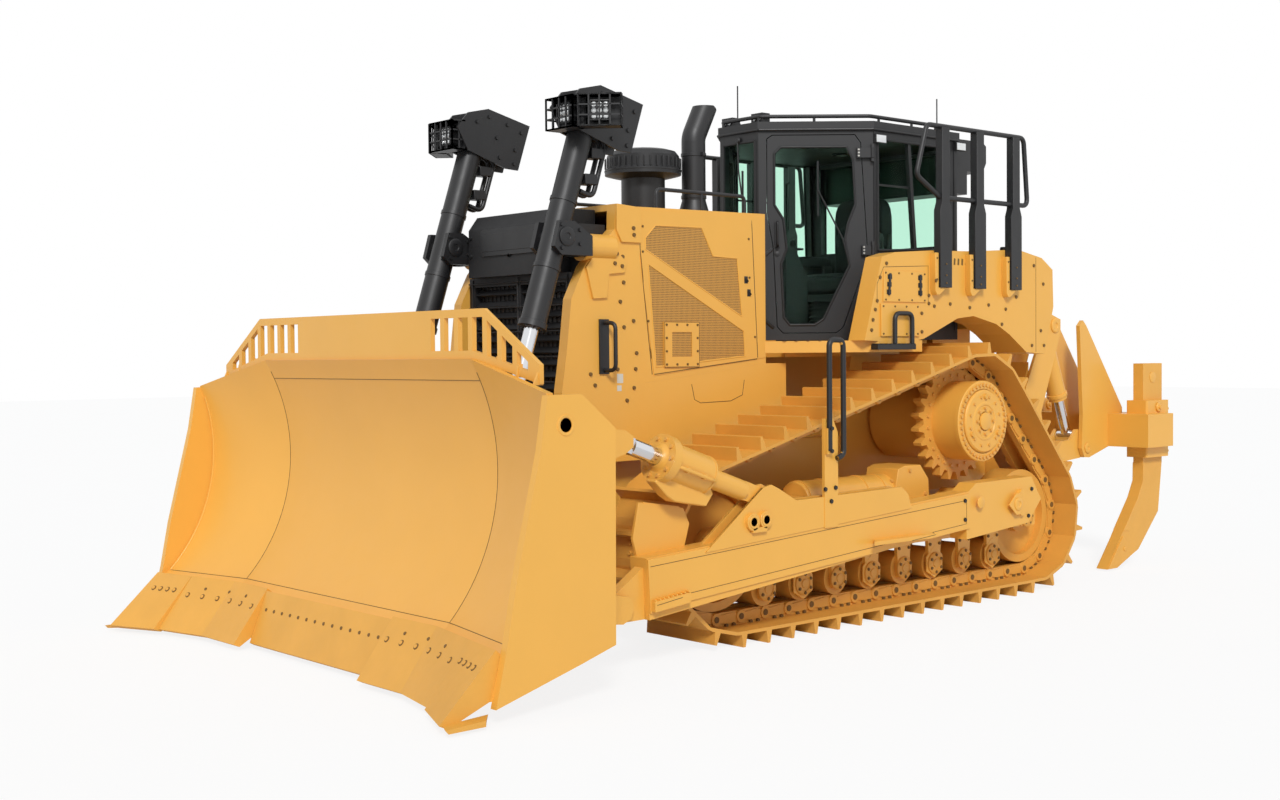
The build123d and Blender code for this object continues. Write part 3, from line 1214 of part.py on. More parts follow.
# ---- ripper ---------------------------------------------------------------------------------------
mount_plate = 24.0
link_offset = ripper_lift_eye_half + swing              # cylinder's middle to the link plates
side_offset = link_offset + ripper_link_plate + swing   # and to the plates outside them
tilt_offset = ripper_tilt_eye_half + swing
with BuildPart() as ripper_mount:
    # cross block bolted to the rear case
    with BuildSketch(Plane.YZ.offset(-460)):
        Polygon((hull_rear_y + fit, 760), (2420, 760), (2420, 1740), (hull_rear_y + fit, 1740), align=None)
    extrude(amount=920)
    for side in SIDES:
        for face in SIDES:
            # towers beside the lift cylinder and the link
            with BuildSketch(Plane.YZ.offset(side * ripper_lift_x + face * side_offset)):
                Polygon((2350, 760), (2600, 830), (2640, 930), (2620, 1020), (2560, 1300), (2830, 1930),
                        (2830, 2040), (2700, 2080), (2640, 2040), (2350, 1500), align=None)
            extrude(amount=face * mount_plate)
            with BuildSketch(Plane.YZ.offset(side * ripper_tilt_x + face * tilt_offset)):
                Polygon((2400, 1500), (2555, 1880), (2495, 1965), (2445, 1945), (2400, 1740), align=None)
                with Locations(ripper_tilt_head):
                    Circle(60)
            extrude(amount=face * mount_plate)
        with BuildSketch(Plane.YZ.offset(side * ripper_lift_x - side_offset - mount_plate)):
            with Locations(ripper_low_pin):
                Circle(45)
            with Locations(ripper_lift_head):
                Circle(38)
        extrude(amount=2 * (side_offset + mount_plate))
        with BuildSketch(Plane.YZ.offset(side * ripper_tilt_x - tilt_offset - mount_plate)):
            with Locations(ripper_tilt_head):
                Circle(34)
        extrude(amount=2 * (tilt_offset + mount_plate))
        # web from the block out to the towers
        with BuildSketch(Plane.YZ.offset(side * 450)):
            Polygon((2340, 800), (2420, 800), (2420, 1700), (2340, 1480), align=None)
        extrude(amount=side * (ripper_lift_x + side_offset - 450))
finish(ripper_mount, "ripper_mount")

link_outline = [(2515, 850), (3160, 905), (3280, 985), (3205, 1065), (3160, 1140), (3100, 1140),
                (3020, 1060), (2520, 1010)]
with BuildPart() as ripper_link:
    for side in SIDES:
        for face in SIDES:
            with BuildSketch(Plane.YZ.offset(side * ripper_lift_x + face * link_offset)):
                Polygon(*link_outline, align=None)
                with Locations(ripper_low_pin):
                    Circle(80)
                with Locations(ripper_beam_pin):
                    Circle(80)
                with Locations(ripper_low_pin):
                    Circle(45 + pin_fit, mode=Mode.SUBTRACT)
                with Locations(ripper_beam_pin):
                    Circle(45 + pin_fit, mode=Mode.SUBTRACT)
            extrude(amount=face * ripper_link_plate)
    # cross tube that ties both sides
    with BuildSketch(Plane.YZ.offset(-ripper_lift_x - side_offset)):
        with Locations((2850, 955)):
            Circle(55)
    extrude(amount=2 * (ripper_lift_x + side_offset))
finish(ripper_link, "ripper_link")

cross_shaft_radius = 58.0
with BuildPart() as ripper_pins:
    for side in SIDES:
        with BuildSketch(Plane.YZ.offset(side * (ripper_lift_x + link_offset))):
            with Locations(ripper_beam_pin):
                Circle(45)
        extrude(amount=side * (ripper_pin_reach - link_offset))
    # cross shaft that ends in the inner pins of both sides, thicker between the plates
    for half_length, radius in ((ripper_lift_x - link_offset, 45.0),
                                (ripper_lift_x - ripper_pin_reach, cross_shaft_radius)):
        with BuildSketch(Plane.YZ.offset(-half_length)):
            with Locations(ripper_beam_pin):
                Circle(radius)
        extrude(amount=2 * half_length)
finish(ripper_pins, "ripper_pins")

frame_outline = [(3090, 1990), (3140, 2035), (3190, 1990), (3731, 1304), (3731, beam_top_z - 4),
                 (beam_front_y + 30, beam_top_z - 4), (beam_front_y + 30, beam_bottom_z + 4), (3230, 905),
                 (3160, 910), (3120, 985), (3136, 1263)]
with BuildPart() as ripper_frame:
    with BuildSketch(Plane.YZ.offset(-beam_half_length)):
        Polygon((beam_front_y, beam_bottom_z), (beam_rear_y, beam_bottom_z), (beam_rear_y, beam_top_z),
                (beam_front_y, beam_top_z), align=None)
    extrude(amount=2 * beam_half_length)
    for side in SIDES:
        for face in SIDES:
            with BuildSketch(Plane.YZ.offset(side * ripper_lift_x + face * side_offset)):
                Polygon(*frame_outline, align=None)
                with Locations(ripper_beam_pin):
                    Circle(45 + pin_fit, mode=Mode.SUBTRACT)
            extrude(amount=face * ripper_side_plate)
        # lugs of the tilt cylinder
        for face in SIDES:
            with BuildSketch(Plane.YZ.offset(side * ripper_tilt_x + face * tilt_offset)):
                Polygon((3090, 1990), (3140, 2030), (3190, 1990), (3650, beam_top_z - 4),
                        (beam_front_y + 4, beam_top_z - 4), (3085, 1900), align=None)
            extrude(amount=face * mount_plate)
    # shank pockets
    for x in (-shank_x, 0, shank_x):
        with BuildSketch(Plane.XY.offset(beam_bottom_z - pocket_below)):
            with Locations((x, shank_top_y)):
                RectangleRounded(shank_thickness + 4 * pocket_wall, shank_width + 2 * pocket_wall, 18)
        extrude(amount=beam_top_z - beam_bottom_z + pocket_above + pocket_below)
        with BuildSketch(Plane.XY.offset(beam_bottom_z - pocket_below - 10)):
            with Locations((x, shank_top_y)):
                Rectangle(shank_thickness + 2 * fit, shank_width + 2 * fit)
        extrude(amount=beam_top_z - beam_bottom_z + pocket_above + pocket_below + 20, mode=Mode.SUBTRACT)
finish(ripper_frame, "ripper_frame")

shank_outline = [(3642, 1676), (3938, 1676), (3938, 844), (3880, 432), (3571, 136), (3230, 12),
                 (3097, 12), (3330, 300), (3560, 560), (3642, 700)]
with BuildPart() as ripper_shank:
    with BuildSketch(Plane.YZ.offset(shank_x - shank_thickness / 2)):
        Polygon(*shank_outline, align=None)
        with Locations((shank_top_y, 1560)):
            Circle(38, mode=Mode.SUBTRACT)
    extrude(amount=shank_thickness)
finish(ripper_shank, "ripper_shank")


def cylinder_pair(x, head, eye, closed, rod_start, half, eye_radius, pin_radius):
    """Both barrels and both rods of a pair.

    closed is the barrel's length, rod_start the piston's place, half the eyes' half width.
    """
    length = distance(head, eye)
    neck = eye_radius + 28
    barrel_radius, rod_radius = ripper_barrel_radius, ripper_rod_radius
    with BuildPart() as barrels:
        for side in SIDES:
            with BuildSketch(Plane.YZ.offset(side * x - half)):
                with Locations(head):
                    Circle(eye_radius)
            extrude(amount=2 * half)
            with BuildSketch(axis_plane(side * x, head, eye, along=eye_radius - 20)):
                Rectangle(2 * half, 1.5 * eye_radius)
            extrude(amount=neck - eye_radius + 30)
            with BuildSketch(axis_plane(side * x, head, eye, along=neck)):
                Circle(barrel_radius)
            extrude(amount=closed - neck)
            with BuildSketch(axis_plane(side * x, head, eye, along=neck + 8)):
                Circle(rod_radius + pin_fit)
            extrude(amount=closed, mode=Mode.SUBTRACT)
            with BuildSketch(Plane.YZ.offset(side * x - half - 1)):
                with Locations(head):
                    Circle(pin_radius + pin_fit)
            extrude(amount=2 * half + 2, mode=Mode.SUBTRACT)
    with BuildPart() as rods:
        for side in SIDES:
            with BuildSketch(Plane.YZ.offset(side * x - half)):
                with Locations(eye):
                    Circle(eye_radius - 6)
            extrude(amount=2 * half)
            with BuildSketch(axis_plane(side * x, head, eye, along=rod_start)):
                Circle(rod_radius)
            extrude(amount=length - rod_start - 20)
    return barrels, rods


lift_pair = cylinder_pair(ripper_lift_x, ripper_lift_head, ripper_lift_eye, 648.0, 385.0,
                          ripper_lift_eye_half, 62.0, 38.0)
finish(lift_pair[0], "ripper_lift_barrels")
finish(lift_pair[1], "ripper_lift_rods")
tilt_pair = cylinder_pair(ripper_tilt_x, ripper_tilt_head, ripper_top_pin, 428.0, 262.0,
                          ripper_tilt_eye_half, 58.0, 34.0)
finish(tilt_pair[0], "ripper_tilt_barrels")
finish(tilt_pair[1], "ripper_tilt_rods")
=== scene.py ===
"""Looks of a track-type bulldozer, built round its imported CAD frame.

Sizes are written in millimetres and turned to metres when a mesh is made. +Z is up, the machine
faces -Y and +X is its left side. Every class below is one sub-assembly of the machine.
"""
from __future__ import annotations

import logging
from dataclasses import dataclass, field
from enum import Enum
from functools import partial
from math import asin, atan2, cos, hypot, pi, radians, sin
from typing import Sequence

import bmesh
import bpy
from mathutils import Matrix, Vector
from mathutils.bvhtree import BVHTree


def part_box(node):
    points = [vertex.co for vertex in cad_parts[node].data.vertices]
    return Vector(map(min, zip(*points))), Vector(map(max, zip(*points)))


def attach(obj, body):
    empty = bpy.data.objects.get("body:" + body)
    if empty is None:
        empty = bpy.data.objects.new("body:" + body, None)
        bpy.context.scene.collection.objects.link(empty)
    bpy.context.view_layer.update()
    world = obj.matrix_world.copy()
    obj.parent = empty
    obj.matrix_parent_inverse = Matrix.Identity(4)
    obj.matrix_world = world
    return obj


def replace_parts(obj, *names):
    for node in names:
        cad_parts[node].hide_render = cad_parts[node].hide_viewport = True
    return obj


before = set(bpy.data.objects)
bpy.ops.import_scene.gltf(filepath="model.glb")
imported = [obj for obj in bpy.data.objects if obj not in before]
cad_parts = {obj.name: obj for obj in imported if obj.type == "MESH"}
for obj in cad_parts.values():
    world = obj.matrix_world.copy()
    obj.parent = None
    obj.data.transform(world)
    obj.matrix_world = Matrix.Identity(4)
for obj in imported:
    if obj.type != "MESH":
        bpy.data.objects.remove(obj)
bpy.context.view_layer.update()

LOG = logging.getLogger("bulldozer")
SIDES: tuple[int, int] = (1, -1)
Point = tuple[float, float, float]
Flat = tuple[float, float]
Node = bpy.types.Node
Socket = bpy.types.NodeSocket
Thing = bpy.types.Object
MM = 0.001
SEAM_STEP = 60
POST_YS: tuple[int, ...] = (922, 1328, 1772)
UPPER_SCREEN: Sequence[Flat] = ((-1437, 2454), (-1437, 2528), (-1350, 2611), (-942, 2616), (-838, 2433),
    (-613, 2426), (-570, 2036))
LOWER_SCREEN: Sequence[Flat] = ((-1415, 2363), (-1355, 1706), (-545, 1770), (-554, 1938))


class Body(str, Enum):
    """Moving bodies of the machine, named as in the record."""

    MACHINE = "machine"
    ARMS = "push_frame"
    BLADE = "blade"
    TILT_BARRELS = "tilt_cylinder_barrels"
    LIFT_BARRELS = "lift_cylinder_barrels"
    DOOR_LEFT = "cab_door_left"
    DOOR_RIGHT = "cab_door_right"
    RIPPER_PINS = "ripper_carrier"
    RIPPER = "ripper"
    RIPPER_LIFT_BARRELS = "ripper_lift_barrel_pair"
    RIPPER_TILT_BARRELS = "ripper_tilt_barrel_pair"


class Across(Enum):
    """Axis that a flat outline is drawn across."""

    X = "x"
    Y = "y"
    Z = "z"


# ---- finishes
class Graph:
    """Lays out the shader nodes of one material or of the world."""

    def __init__(self, owner: bpy.types.Material | bpy.types.World, output: str = "OutputMaterial") -> None:
        """Start with an empty node tree.

        Args:
            owner: material or world that takes the nodes.
            output: type of the output node.
        """
        owner.use_nodes = True
        self.tree = owner.node_tree
        self.tree.nodes.clear()
        self.output = self.node(output)

    def node(self, kind: str, values: dict[str, object] | None = None, **settings: object) -> Node:
        """Add a node.

        Args:
            kind: node type without its ShaderNode prefix.
            values: values of its inputs, by name.
            settings: attributes of the node.

        Returns:
            The new node.
        """
        made = self.tree.nodes.new("ShaderNode" + kind)
        for key, value in settings.items():
            setattr(made, key, value)
        for key, value in (values or {}).items():
            made.inputs[key].default_value = value
        return made

    def link(self, source: Socket, target: Socket) -> None:
        """Join two sockets."""
        self.tree.links.new(source, target)

    def close(self, shader: Node) -> None:
        """Send a shader to the output."""
        self.link(shader.outputs[0], self.output.inputs["Surface"])

    def math(self, operation: str, *values: Socket | float) -> Socket:
        """Work out a value from sockets and numbers.

        Args:
            operation: what is done with the values.
            values: sockets or numbers, in the order of the node's inputs.

        Returns:
            The result's socket.
        """
        made = self.node("Math", operation=operation)
        for socket, value in zip(made.inputs, values):
            if isinstance(value, Socket):
                self.link(value, socket)
            else:
                socket.default_value = value
        return made.outputs[0]

    def mix(self, share: Socket, first: Node, second: Node) -> Node:
        """Mix two shaders.

        Args:
            share: share of the second shader.
            first: shader at a share of 0.
            second: shader at a share of 1.

        Returns:
            The mixing node.
        """
        made = self.node("MixShader")
        for source, target in zip((share, first.outputs[0], second.outputs[0]), made.inputs):
            self.link(source, target)
        return made

    def noise(self, scale: float, detail: float = 3, roughness: float = 0.55) -> Socket:
        """Noise on object coordinates.

        Args:
            scale: noise features per metre.
            detail: octaves.
            roughness: weight of the finer octaves.

        Returns:
            The noise value's socket.
        """
        noise = self.node("TexNoise", {"Scale": scale, "Detail": detail, "Roughness": roughness})
        self.link(self.node("TexCoord").outputs["Object"], noise.inputs["Vector"])
        return noise.outputs["Fac"]

    def ramp(self, value: Socket, stops: Sequence[tuple[float, tuple]]) -> Socket:
        """Colour ramp.

        Args:
            value: what drives the ramp.
            stops: places along the ramp, each with its colour.

        Returns:
            The ramp's colour socket.
        """
        ramp = self.node("ValToRGB")
        band = ramp.color_ramp
        while len(band.elements) < len(stops):
            band.elements.new(0.5)
        for element, (place, colour) in zip(band.elements, stops):
            element.position = place
            element.color = (*colour, 1)
        self.link(value, ramp.inputs["Fac"])
        return ramp.outputs["Color"]

    def bump(self, height: Socket, strength: float, reach: float) -> Socket:
        """Bump from a height.

        Args:
            height: socket of the height.
            strength: how strongly it shows.
            reach: height of the relief in metres.

        Returns:
            The bumped normal's socket.
        """
        bump = self.node("Bump", {"Strength": strength, "Distance": reach})
        self.link(height, bump.inputs["Height"])
        return bump.outputs["Normal"]


def shade(colour: tuple, factor: float) -> tuple:
    """Colour made darker or lighter by a factor."""
    return tuple(min(1, channel * factor) for channel in colour)


@dataclass(frozen=True)
class Finish:
    """Surface finish: colour with slow variation, uneven gloss and a fine relief."""

    name: str
    colour: tuple[float, float, float]
    roughness: float = 0.45
    spread: float = 0.08
    metallic: float = 0
    coat: float = 0
    coat_roughness: float = 0.12
    variation: float = 0.06
    patch_scale: float = 1.6
    gloss_ratio: float = 7
    grain_scale: float = 260
    grain: float = 0.05
    relief: float = 0.0006

    def build(self) -> bpy.types.Material:
        """Make the material.

        Returns:
            The finished material.
        """
        material = bpy.data.materials.new(self.name)
        graph = Graph(material)
        graph.close(self.surface(graph))
        return material

    def surface(self, graph: Graph) -> Node:
        """Lay out the surface.

        Args:
            graph: graph that takes the nodes.

        Returns:
            The surface's shader.
        """
        surface = graph.node("BsdfPrincipled", {"Metallic": self.metallic, "Coat Weight": self.coat,
            "Coat Roughness": self.coat_roughness})
        stops = [(0.25, shade(self.colour, 1 - self.variation)), (0.75,
            shade(self.colour, 1 + self.variation))]
        graph.link(graph.ramp(graph.noise(self.patch_scale, 4), stops), surface.inputs["Base Color"])
        gloss = graph.node("MapRange", {"To Min": self.roughness - self.spread,
            "To Max": self.roughness + self.spread})
        graph.link(graph.noise(self.patch_scale * self.gloss_ratio, 5), gloss.inputs["Value"])
        graph.link(gloss.outputs["Result"], surface.inputs["Roughness"])
        normal = graph.bump(graph.noise(self.grain_scale, 2), self.grain, self.relief)
        graph.link(normal, surface.inputs["Normal"])
        return surface


@dataclass(frozen=True)
class WindowGlass(Finish):
    """Tinted cab glass."""

    refraction: float = 1.07

    def surface(self, graph: Graph) -> Node:
        """Lay out clear tinted glass.

        Args:
            graph: graph that takes the nodes.

        Returns:
            The surface's shader.
        """
        surface = graph.node("BsdfPrincipled", {"Roughness": self.roughness, "Transmission Weight": 1,
            "IOR": self.refraction})
        tint = graph.ramp(graph.noise(0.8, 1), [(0.2, shade(self.colour, 0.94)), (0.8, self.colour)])
        graph.link(tint, surface.inputs["Base Color"])
        return surface


@dataclass(frozen=True)
class PerforatedSheet(Finish):
    """Painted sheet with a close pattern of small round holes."""

    hole_pitch: float = 0.011
    hole_share: float = 0.36
    hole_edge: float = 0.08
    hole_colour: tuple[float, float, float] = (0.012, 0.010, 0.008)

    def surface(self, graph: Graph) -> Node:
        """Lay out the sheet and its holes.

        Args:
            graph: graph that takes the nodes.

        Returns:
            The surface's shader.
        """
        surface = graph.node("BsdfPrincipled", {"Roughness": self.roughness})
        split = graph.node("SeparateXYZ")
        graph.link(graph.node("TexCoord").outputs["Object"], split.inputs["Vector"])
        waves = [graph.math("SINE", graph.math("MULTIPLY", split.outputs[axis],
            pi / self.hole_pitch)) for axis in ("Y", "Z")]
        both = graph.math("MULTIPLY", *(graph.math("POWER", wave, 2) for wave in waves))
        stops = [(self.hole_share, self.colour), (self.hole_share + self.hole_edge, self.hole_colour)]
        graph.link(graph.ramp(both, stops), surface.inputs["Base Color"])
        graph.link(graph.bump(both, -0.4, 0.001), surface.inputs["Normal"])
        return surface


class Finishes:
    """All finishes of the machine, each built once when first used."""

    YELLOW = Finish("machine_yellow", (0.80, 0.415, 0.068), roughness=0.42, variation=0.03, coat=0.12)
    TRACK_YELLOW = Finish("undercarriage_yellow", (0.70, 0.345, 0.058), roughness=0.5, variation=0.07,
        grain=0.12, grain_scale=180, patch_scale=3)
    WORN_YELLOW = Finish("cast_yellow", (0.74, 0.375, 0.062), roughness=0.5, variation=0.06, grain=0.2,
        grain_scale=120, patch_scale=4)
    BLACK = Finish("frame_black", (0.011, 0.011, 0.012), roughness=0.46, variation=0.12)
    DULL_BLACK = Finish("grille_black", (0.010, 0.010, 0.011), roughness=0.62, variation=0.15)
    RUBBER = Finish("hose_rubber", (0.014, 0.014, 0.015), roughness=0.6, variation=0.12, grain_scale=420,
        grain=0.15)
    CHROME = Finish("rod_chrome", (0.72, 0.73, 0.75), roughness=0.14, spread=0.04, metallic=1, variation=0.02,
        grain=0.01)
    BOLT_YELLOW = Finish("bolt_yellow", (0.70, 0.36, 0.075), roughness=0.4, variation=0.1, patch_scale=9)
    ZINC = Finish("bolt_zinc", (0.42, 0.41, 0.38), roughness=0.38, metallic=0.9, variation=0.15,
        patch_scale=14)
    SEAM = Finish("seam_shadow", (0.16, 0.085, 0.020), roughness=0.7, variation=0.1)
    SEAT = Finish("seat_cloth", (0.030, 0.031, 0.034), roughness=0.85, variation=0.2, grain_scale=700,
        grain=0.5)
    PLASTIC = Finish("cab_plastic", (0.045, 0.046, 0.048), roughness=0.55, variation=0.1, grain_scale=520,
        grain=0.2)
    LENS = Finish("lamp_lens", (0.78, 0.80, 0.80), roughness=0.12, variation=0.05, coat=0.6)
    REFLECTOR = Finish("lamp_reflector", (0.62, 0.63, 0.64), roughness=0.2, metallic=1, variation=0.05)
    LABEL = Finish("blank_label", (0.62, 0.60, 0.52), roughness=0.5, variation=0.05)
    SCREEN_GLASS = Finish("display_glass", (0.012, 0.016, 0.020), roughness=0.1, variation=0.2, coat=0.6)
    GLASS = WindowGlass("window_glass", (0.75, 0.97, 0.86), roughness=0.01)
    SCREEN = PerforatedSheet("perforated_yellow", (0.60, 0.30, 0.055), roughness=0.5)

    _made: dict[str, bpy.types.Material] = {}

    @classmethod
    def get(cls, finish: Finish) -> bpy.types.Material:
        """Material of a finish, built on first use.

        Args:
            finish: the finish.

        Returns:
            Its material.
        """
        if finish.name not in cls._made:
            cls._made[finish.name] = finish.build()
        return cls._made[finish.name]


# ---- shapes
def turn_to(direction: Vector) -> Matrix:
    """Rotation that takes +Z to a direction."""
    return direction.to_track_quat("Z", "Y").to_matrix().to_4x4()


def stand(name: str, data: bpy.types.ID) -> Thing:
    """Put data into the scene.

    Args:
        name: name of the object.
        data: its mesh, lamp or camera.

    Returns:
        The new object.
    """
    thing = bpy.data.objects.new(name, data)
    bpy.context.collection.objects.link(thing)
    return thing


def rounded_path(points: Sequence[Point], bend: float, steps: int = 5) -> list[Vector]:
    """Line through points with its corners turned to arcs.

    Args:
        points: corners of the line.
        bend: radius of the corners.
        steps: straight pieces in each corner.

    Returns:
        Points of the rounded line.
    """
    corners = [Vector(point) for point in points]
    line = [corners[0]]
    for before, corner, after in zip(corners, corners[1:], corners[2:]):
        come, leave = (before - corner).normalized(), (after - corner).normalized()
        angle = come.angle(leave)
        if angle > pi - 0.02:
            line.append(corner)
            continue
        reach = min(bend / max(1e-6, abs(sin(angle / 2) / cos(angle / 2))), (before - corner).length * 0.49,
            (after - corner).length * 0.49)
        start, end = corner + come * reach, corner + leave * reach
        for i in range(steps + 1):
            share = i / steps
            line.append(start * (1 - share) ** 2 + corner * 2 * share * (1 - share) + end * share ** 2)
    line.append(corners[-1])
    return line


class Shape:
    """Mesh being built from simple forms, in millimetres."""

    def __init__(self) -> None:
        """Start an empty mesh."""
        self.mesh = bmesh.new()

    def box(self, low: Point, high: Point) -> None:
        """Add a box.

        Args:
            low: one corner.
            high: the opposite corner.
        """
        middle = [(a + b) / 2 for a, b in zip(low, high)]
        size = [abs(b - a) for a, b in zip(low, high)]
        place = Matrix.Translation(middle) @ Matrix.Diagonal((*size, 1))
        bmesh.ops.create_cube(self.mesh, size=1, matrix=place)

    def prism(self, outline: Sequence[Flat], start: float, end: float, across: Across = Across.X) -> None:
        """Add a flat outline with a thickness.

        Args:
            outline: corners, as (y, z) across X, (x, z) across Y and (x, y) across Z.
            start: where the thickness starts.
            end: where it ends.
            across: axis of the thickness.
        """
        def place(flat: Flat, depth: float) -> Point:
            """Corner in space.

            Args:
                flat: the outline's corner.
                depth: place along the axis of the thickness.

            Returns:
                The corner.
            """
            if across is Across.X:
                return (depth, flat[0], flat[1])
            if across is Across.Y:
                return (flat[0], depth, flat[1])
            return (flat[0], flat[1], depth)

        low = [self.mesh.verts.new(place(flat, start)) for flat in outline]
        high = [self.mesh.verts.new(place(flat, end)) for flat in outline]
        faces = [self.mesh.faces.new(low), self.mesh.faces.new(high)]
        for i in range(len(outline)):
            j = (i + 1) % len(outline)
            faces.append(self.mesh.faces.new((low[i], low[j], high[j], high[i])))
        bmesh.ops.recalc_face_normals(self.mesh, faces=faces)

    def cylinder(self, start: Point, end: Point, radius: float, sides: int = 24) -> None:
        """Add a cylinder.

        Args:
            start: middle of one end.
            end: middle of the other end.
            radius: its radius.
            sides: sides of the section.
        """
        a, b = Vector(start), Vector(end)
        place = Matrix.Translation((a + b) / 2) @ turn_to(b - a)
        bmesh.ops.create_cone(self.mesh, cap_ends=True, segments=sides, radius1=radius, radius2=radius,
            depth=(b - a).length, matrix=place)

    def tube(self, points: Sequence[Point], radius: float, bend: float = 0, sides: int = 10,
            steps: int = 5) -> None:
        """Add a round bar along a line.

        Args:
            points: corners of the line.
            radius: radius of the bar.
            bend: radius of the corners.
            sides: sides of the section.
            steps: straight pieces in each corner.
        """
        line = rounded_path(points, bend, steps) if bend else [Vector(point) for point in points]
        rings = []
        side = None
        for i, here in enumerate(line):
            along = (line[min(i + 1, len(line) - 1)] - line[max(i - 1, 0)]).normalized()
            if side is None:
                side = along.orthogonal().normalized()
            side = (side - along * side.dot(along)).normalized()
            other = along.cross(side)
            rings.append([self.mesh.verts.new(here + side * (radius * cos(2 * pi * k / sides)) + other
                * (radius * sin(2 * pi * k / sides))) for k in range(sides)])
        for ring, following in zip(rings, rings[1:]):
            for k in range(sides):
                j = (k + 1) % sides
                self.mesh.faces.new((ring[k], ring[j], following[j], following[k]))
        self.mesh.faces.new(list(reversed(rings[0])))
        self.mesh.faces.new(rings[-1])

    def turned(self, origin: Point, direction: Point, profile: Sequence[Flat], sides: int = 32,
            closed: bool = False) -> None:
        """Add a turned form.

        Args:
            origin: where the axis starts.
            direction: way the axis runs.
            profile: (radius, distance along the axis), from one end to the other.
            sides: sides of the form.
            closed: whether the profile runs back to its start, which leaves a ring with an open bore.
        """
        place = Matrix.Translation(origin) @ turn_to(Vector(direction))
        rings = []
        for radius, along in profile:
            if radius < 1e-6:
                rings.append([self.mesh.verts.new(place @ Vector((0, 0, along)))])
            else:
                rings.append([self.mesh.verts.new(place @ Vector((radius * cos(2 * pi * k / sides),
                    radius * sin(2 * pi * k / sides), along))) for k in range(sides)])
        faces = []
        for ring, following in zip(rings, rings[1:] + rings[:1] if closed else rings[1:]):
            for k in range(sides):
                j = (k + 1) % sides
                corners = []
                for corner in (ring[k % len(ring)], ring[j % len(ring)], following[j % len(following)],
                        following[k % len(following)]):
                    if corner not in corners:
                        corners.append(corner)
                if len(corners) > 2:
                    faces.append(self.mesh.faces.new(corners))
        for ring in () if closed else (rings[0], rings[-1]):
            if len(ring) > 1:
                faces.append(self.mesh.faces.new(ring))
        bmesh.ops.recalc_face_normals(self.mesh, faces=faces)

    def pierced(self, outline: Sequence[Flat], holes: Sequence[Sequence[Flat]], middle: float,
            thickness: float) -> None:
        """Add an upright plate across X with holes in it.

        Args:
            outline: (y, z) of the plate's corners.
            holes: (y, z) of each hole's corners.
            middle: X of the plate's middle.
            thickness: its thickness.
        """
        curve = bpy.data.curves.new("plate", "CURVE")
        curve.dimensions, curve.fill_mode, curve.extrude = "2D", "BOTH", thickness / 2
        for ring in (outline, *holes):
            spline = curve.splines.new("POLY")
            spline.points.add(len(ring) - 1)
            for point, flat in zip(spline.points, ring):
                point.co = (*flat, 0, 1)
            spline.use_cyclic_u = True
        carrier = bpy.data.objects.new("plate", curve)
        data = bpy.data.meshes.new_from_object(carrier)
        data.transform(Matrix(((0, 0, 1, middle), (1, 0, 0, 0), (0, 1, 0, 0), (0, 0, 0, 1))))
        self.mesh.from_mesh(data)
        bpy.data.objects.remove(carrier)
        bpy.data.curves.remove(curve)
        bpy.data.meshes.remove(data)

    def put(self, other: "Shape", place: Matrix) -> None:
        """Add a copy of another shape.

        Args:
            other: shape that is copied.
            place: where it goes, in millimetres.
        """
        data = bpy.data.meshes.new("copy")
        other.mesh.to_mesh(data)
        data.transform(place)
        self.mesh.from_mesh(data)
        bpy.data.meshes.remove(data)

    def bars(self, corners: Sequence[Point], radius: float) -> None:
        """Add a straight round bar from each corner to the next."""
        for start, end in zip(corners, corners[1:]):
            self.tube([start, end], radius, sides=8)

    def pad(self, low: Point, high: Point, power: float, cuts: int = 9) -> None:
        """Add a crowned cushion between two corners.

        Args:
            low: one corner.
            high: the opposite corner.
            power: how square it is; 2 gives an egg, more gives flatter sides.
            cuts: cuts along each edge.
        """
        cushion = bmesh.new()
        bmesh.ops.create_cube(cushion, size=2)
        bmesh.ops.subdivide_edges(cushion, edges=cushion.edges, cuts=cuts, use_grid_fill=True)
        for vertex in cushion.verts:
            reach = sum(abs(c) ** power for c in vertex.co) ** (1 / power)
            vertex.co = Vector([(a + b) / 2 + abs(b - a) / 2 * c / reach for a, b,
                c in zip(low, high, vertex.co)])
        data = bpy.data.meshes.new("cushion")
        cushion.to_mesh(data)
        cushion.free()
        self.mesh.from_mesh(data)
        bpy.data.meshes.remove(data)

    def piece(self, name: str, finish: Finish, body: Body = Body.MACHINE, bevel: float = 0,
            angle: float = 35) -> Thing:
        """Turn the shape into an object that rides on a body.

        Args:
            name: name of the piece.
            finish: its finish.
            body: body it moves with.
            bevel: width of its rounded edges in millimetres.
            angle: edges sharper than this many degrees stay sharp.

        Returns:
            The object.
        """
        data = bpy.data.meshes.new(name)
        self.mesh.to_mesh(data)
        self.mesh.free()
        data.transform(Matrix.Scale(MM, 4))
        thing = stand(name, data)
        data.materials.append(Finishes.get(finish))
        if bevel:
            edge = thing.modifiers.new("edges", "BEVEL")
            edge.width = bevel * MM
            edge.segments = 2
            edge.limit_method = "ANGLE"
            edge.angle_limit = radians(30)
        data.shade_smooth()
        data.set_sharp_from_angle(angle=radians(angle))
        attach(thing, body.value)
        LOG.info("%s: %d faces on %s", name, len(data.polygons), body.value)
        return thing


# ---- repeated fasteners
class Head(Enum):
    """Kinds of fastener and boss that are set out in numbers: sides of the head."""

    HEX = 6
    ROUND = 12


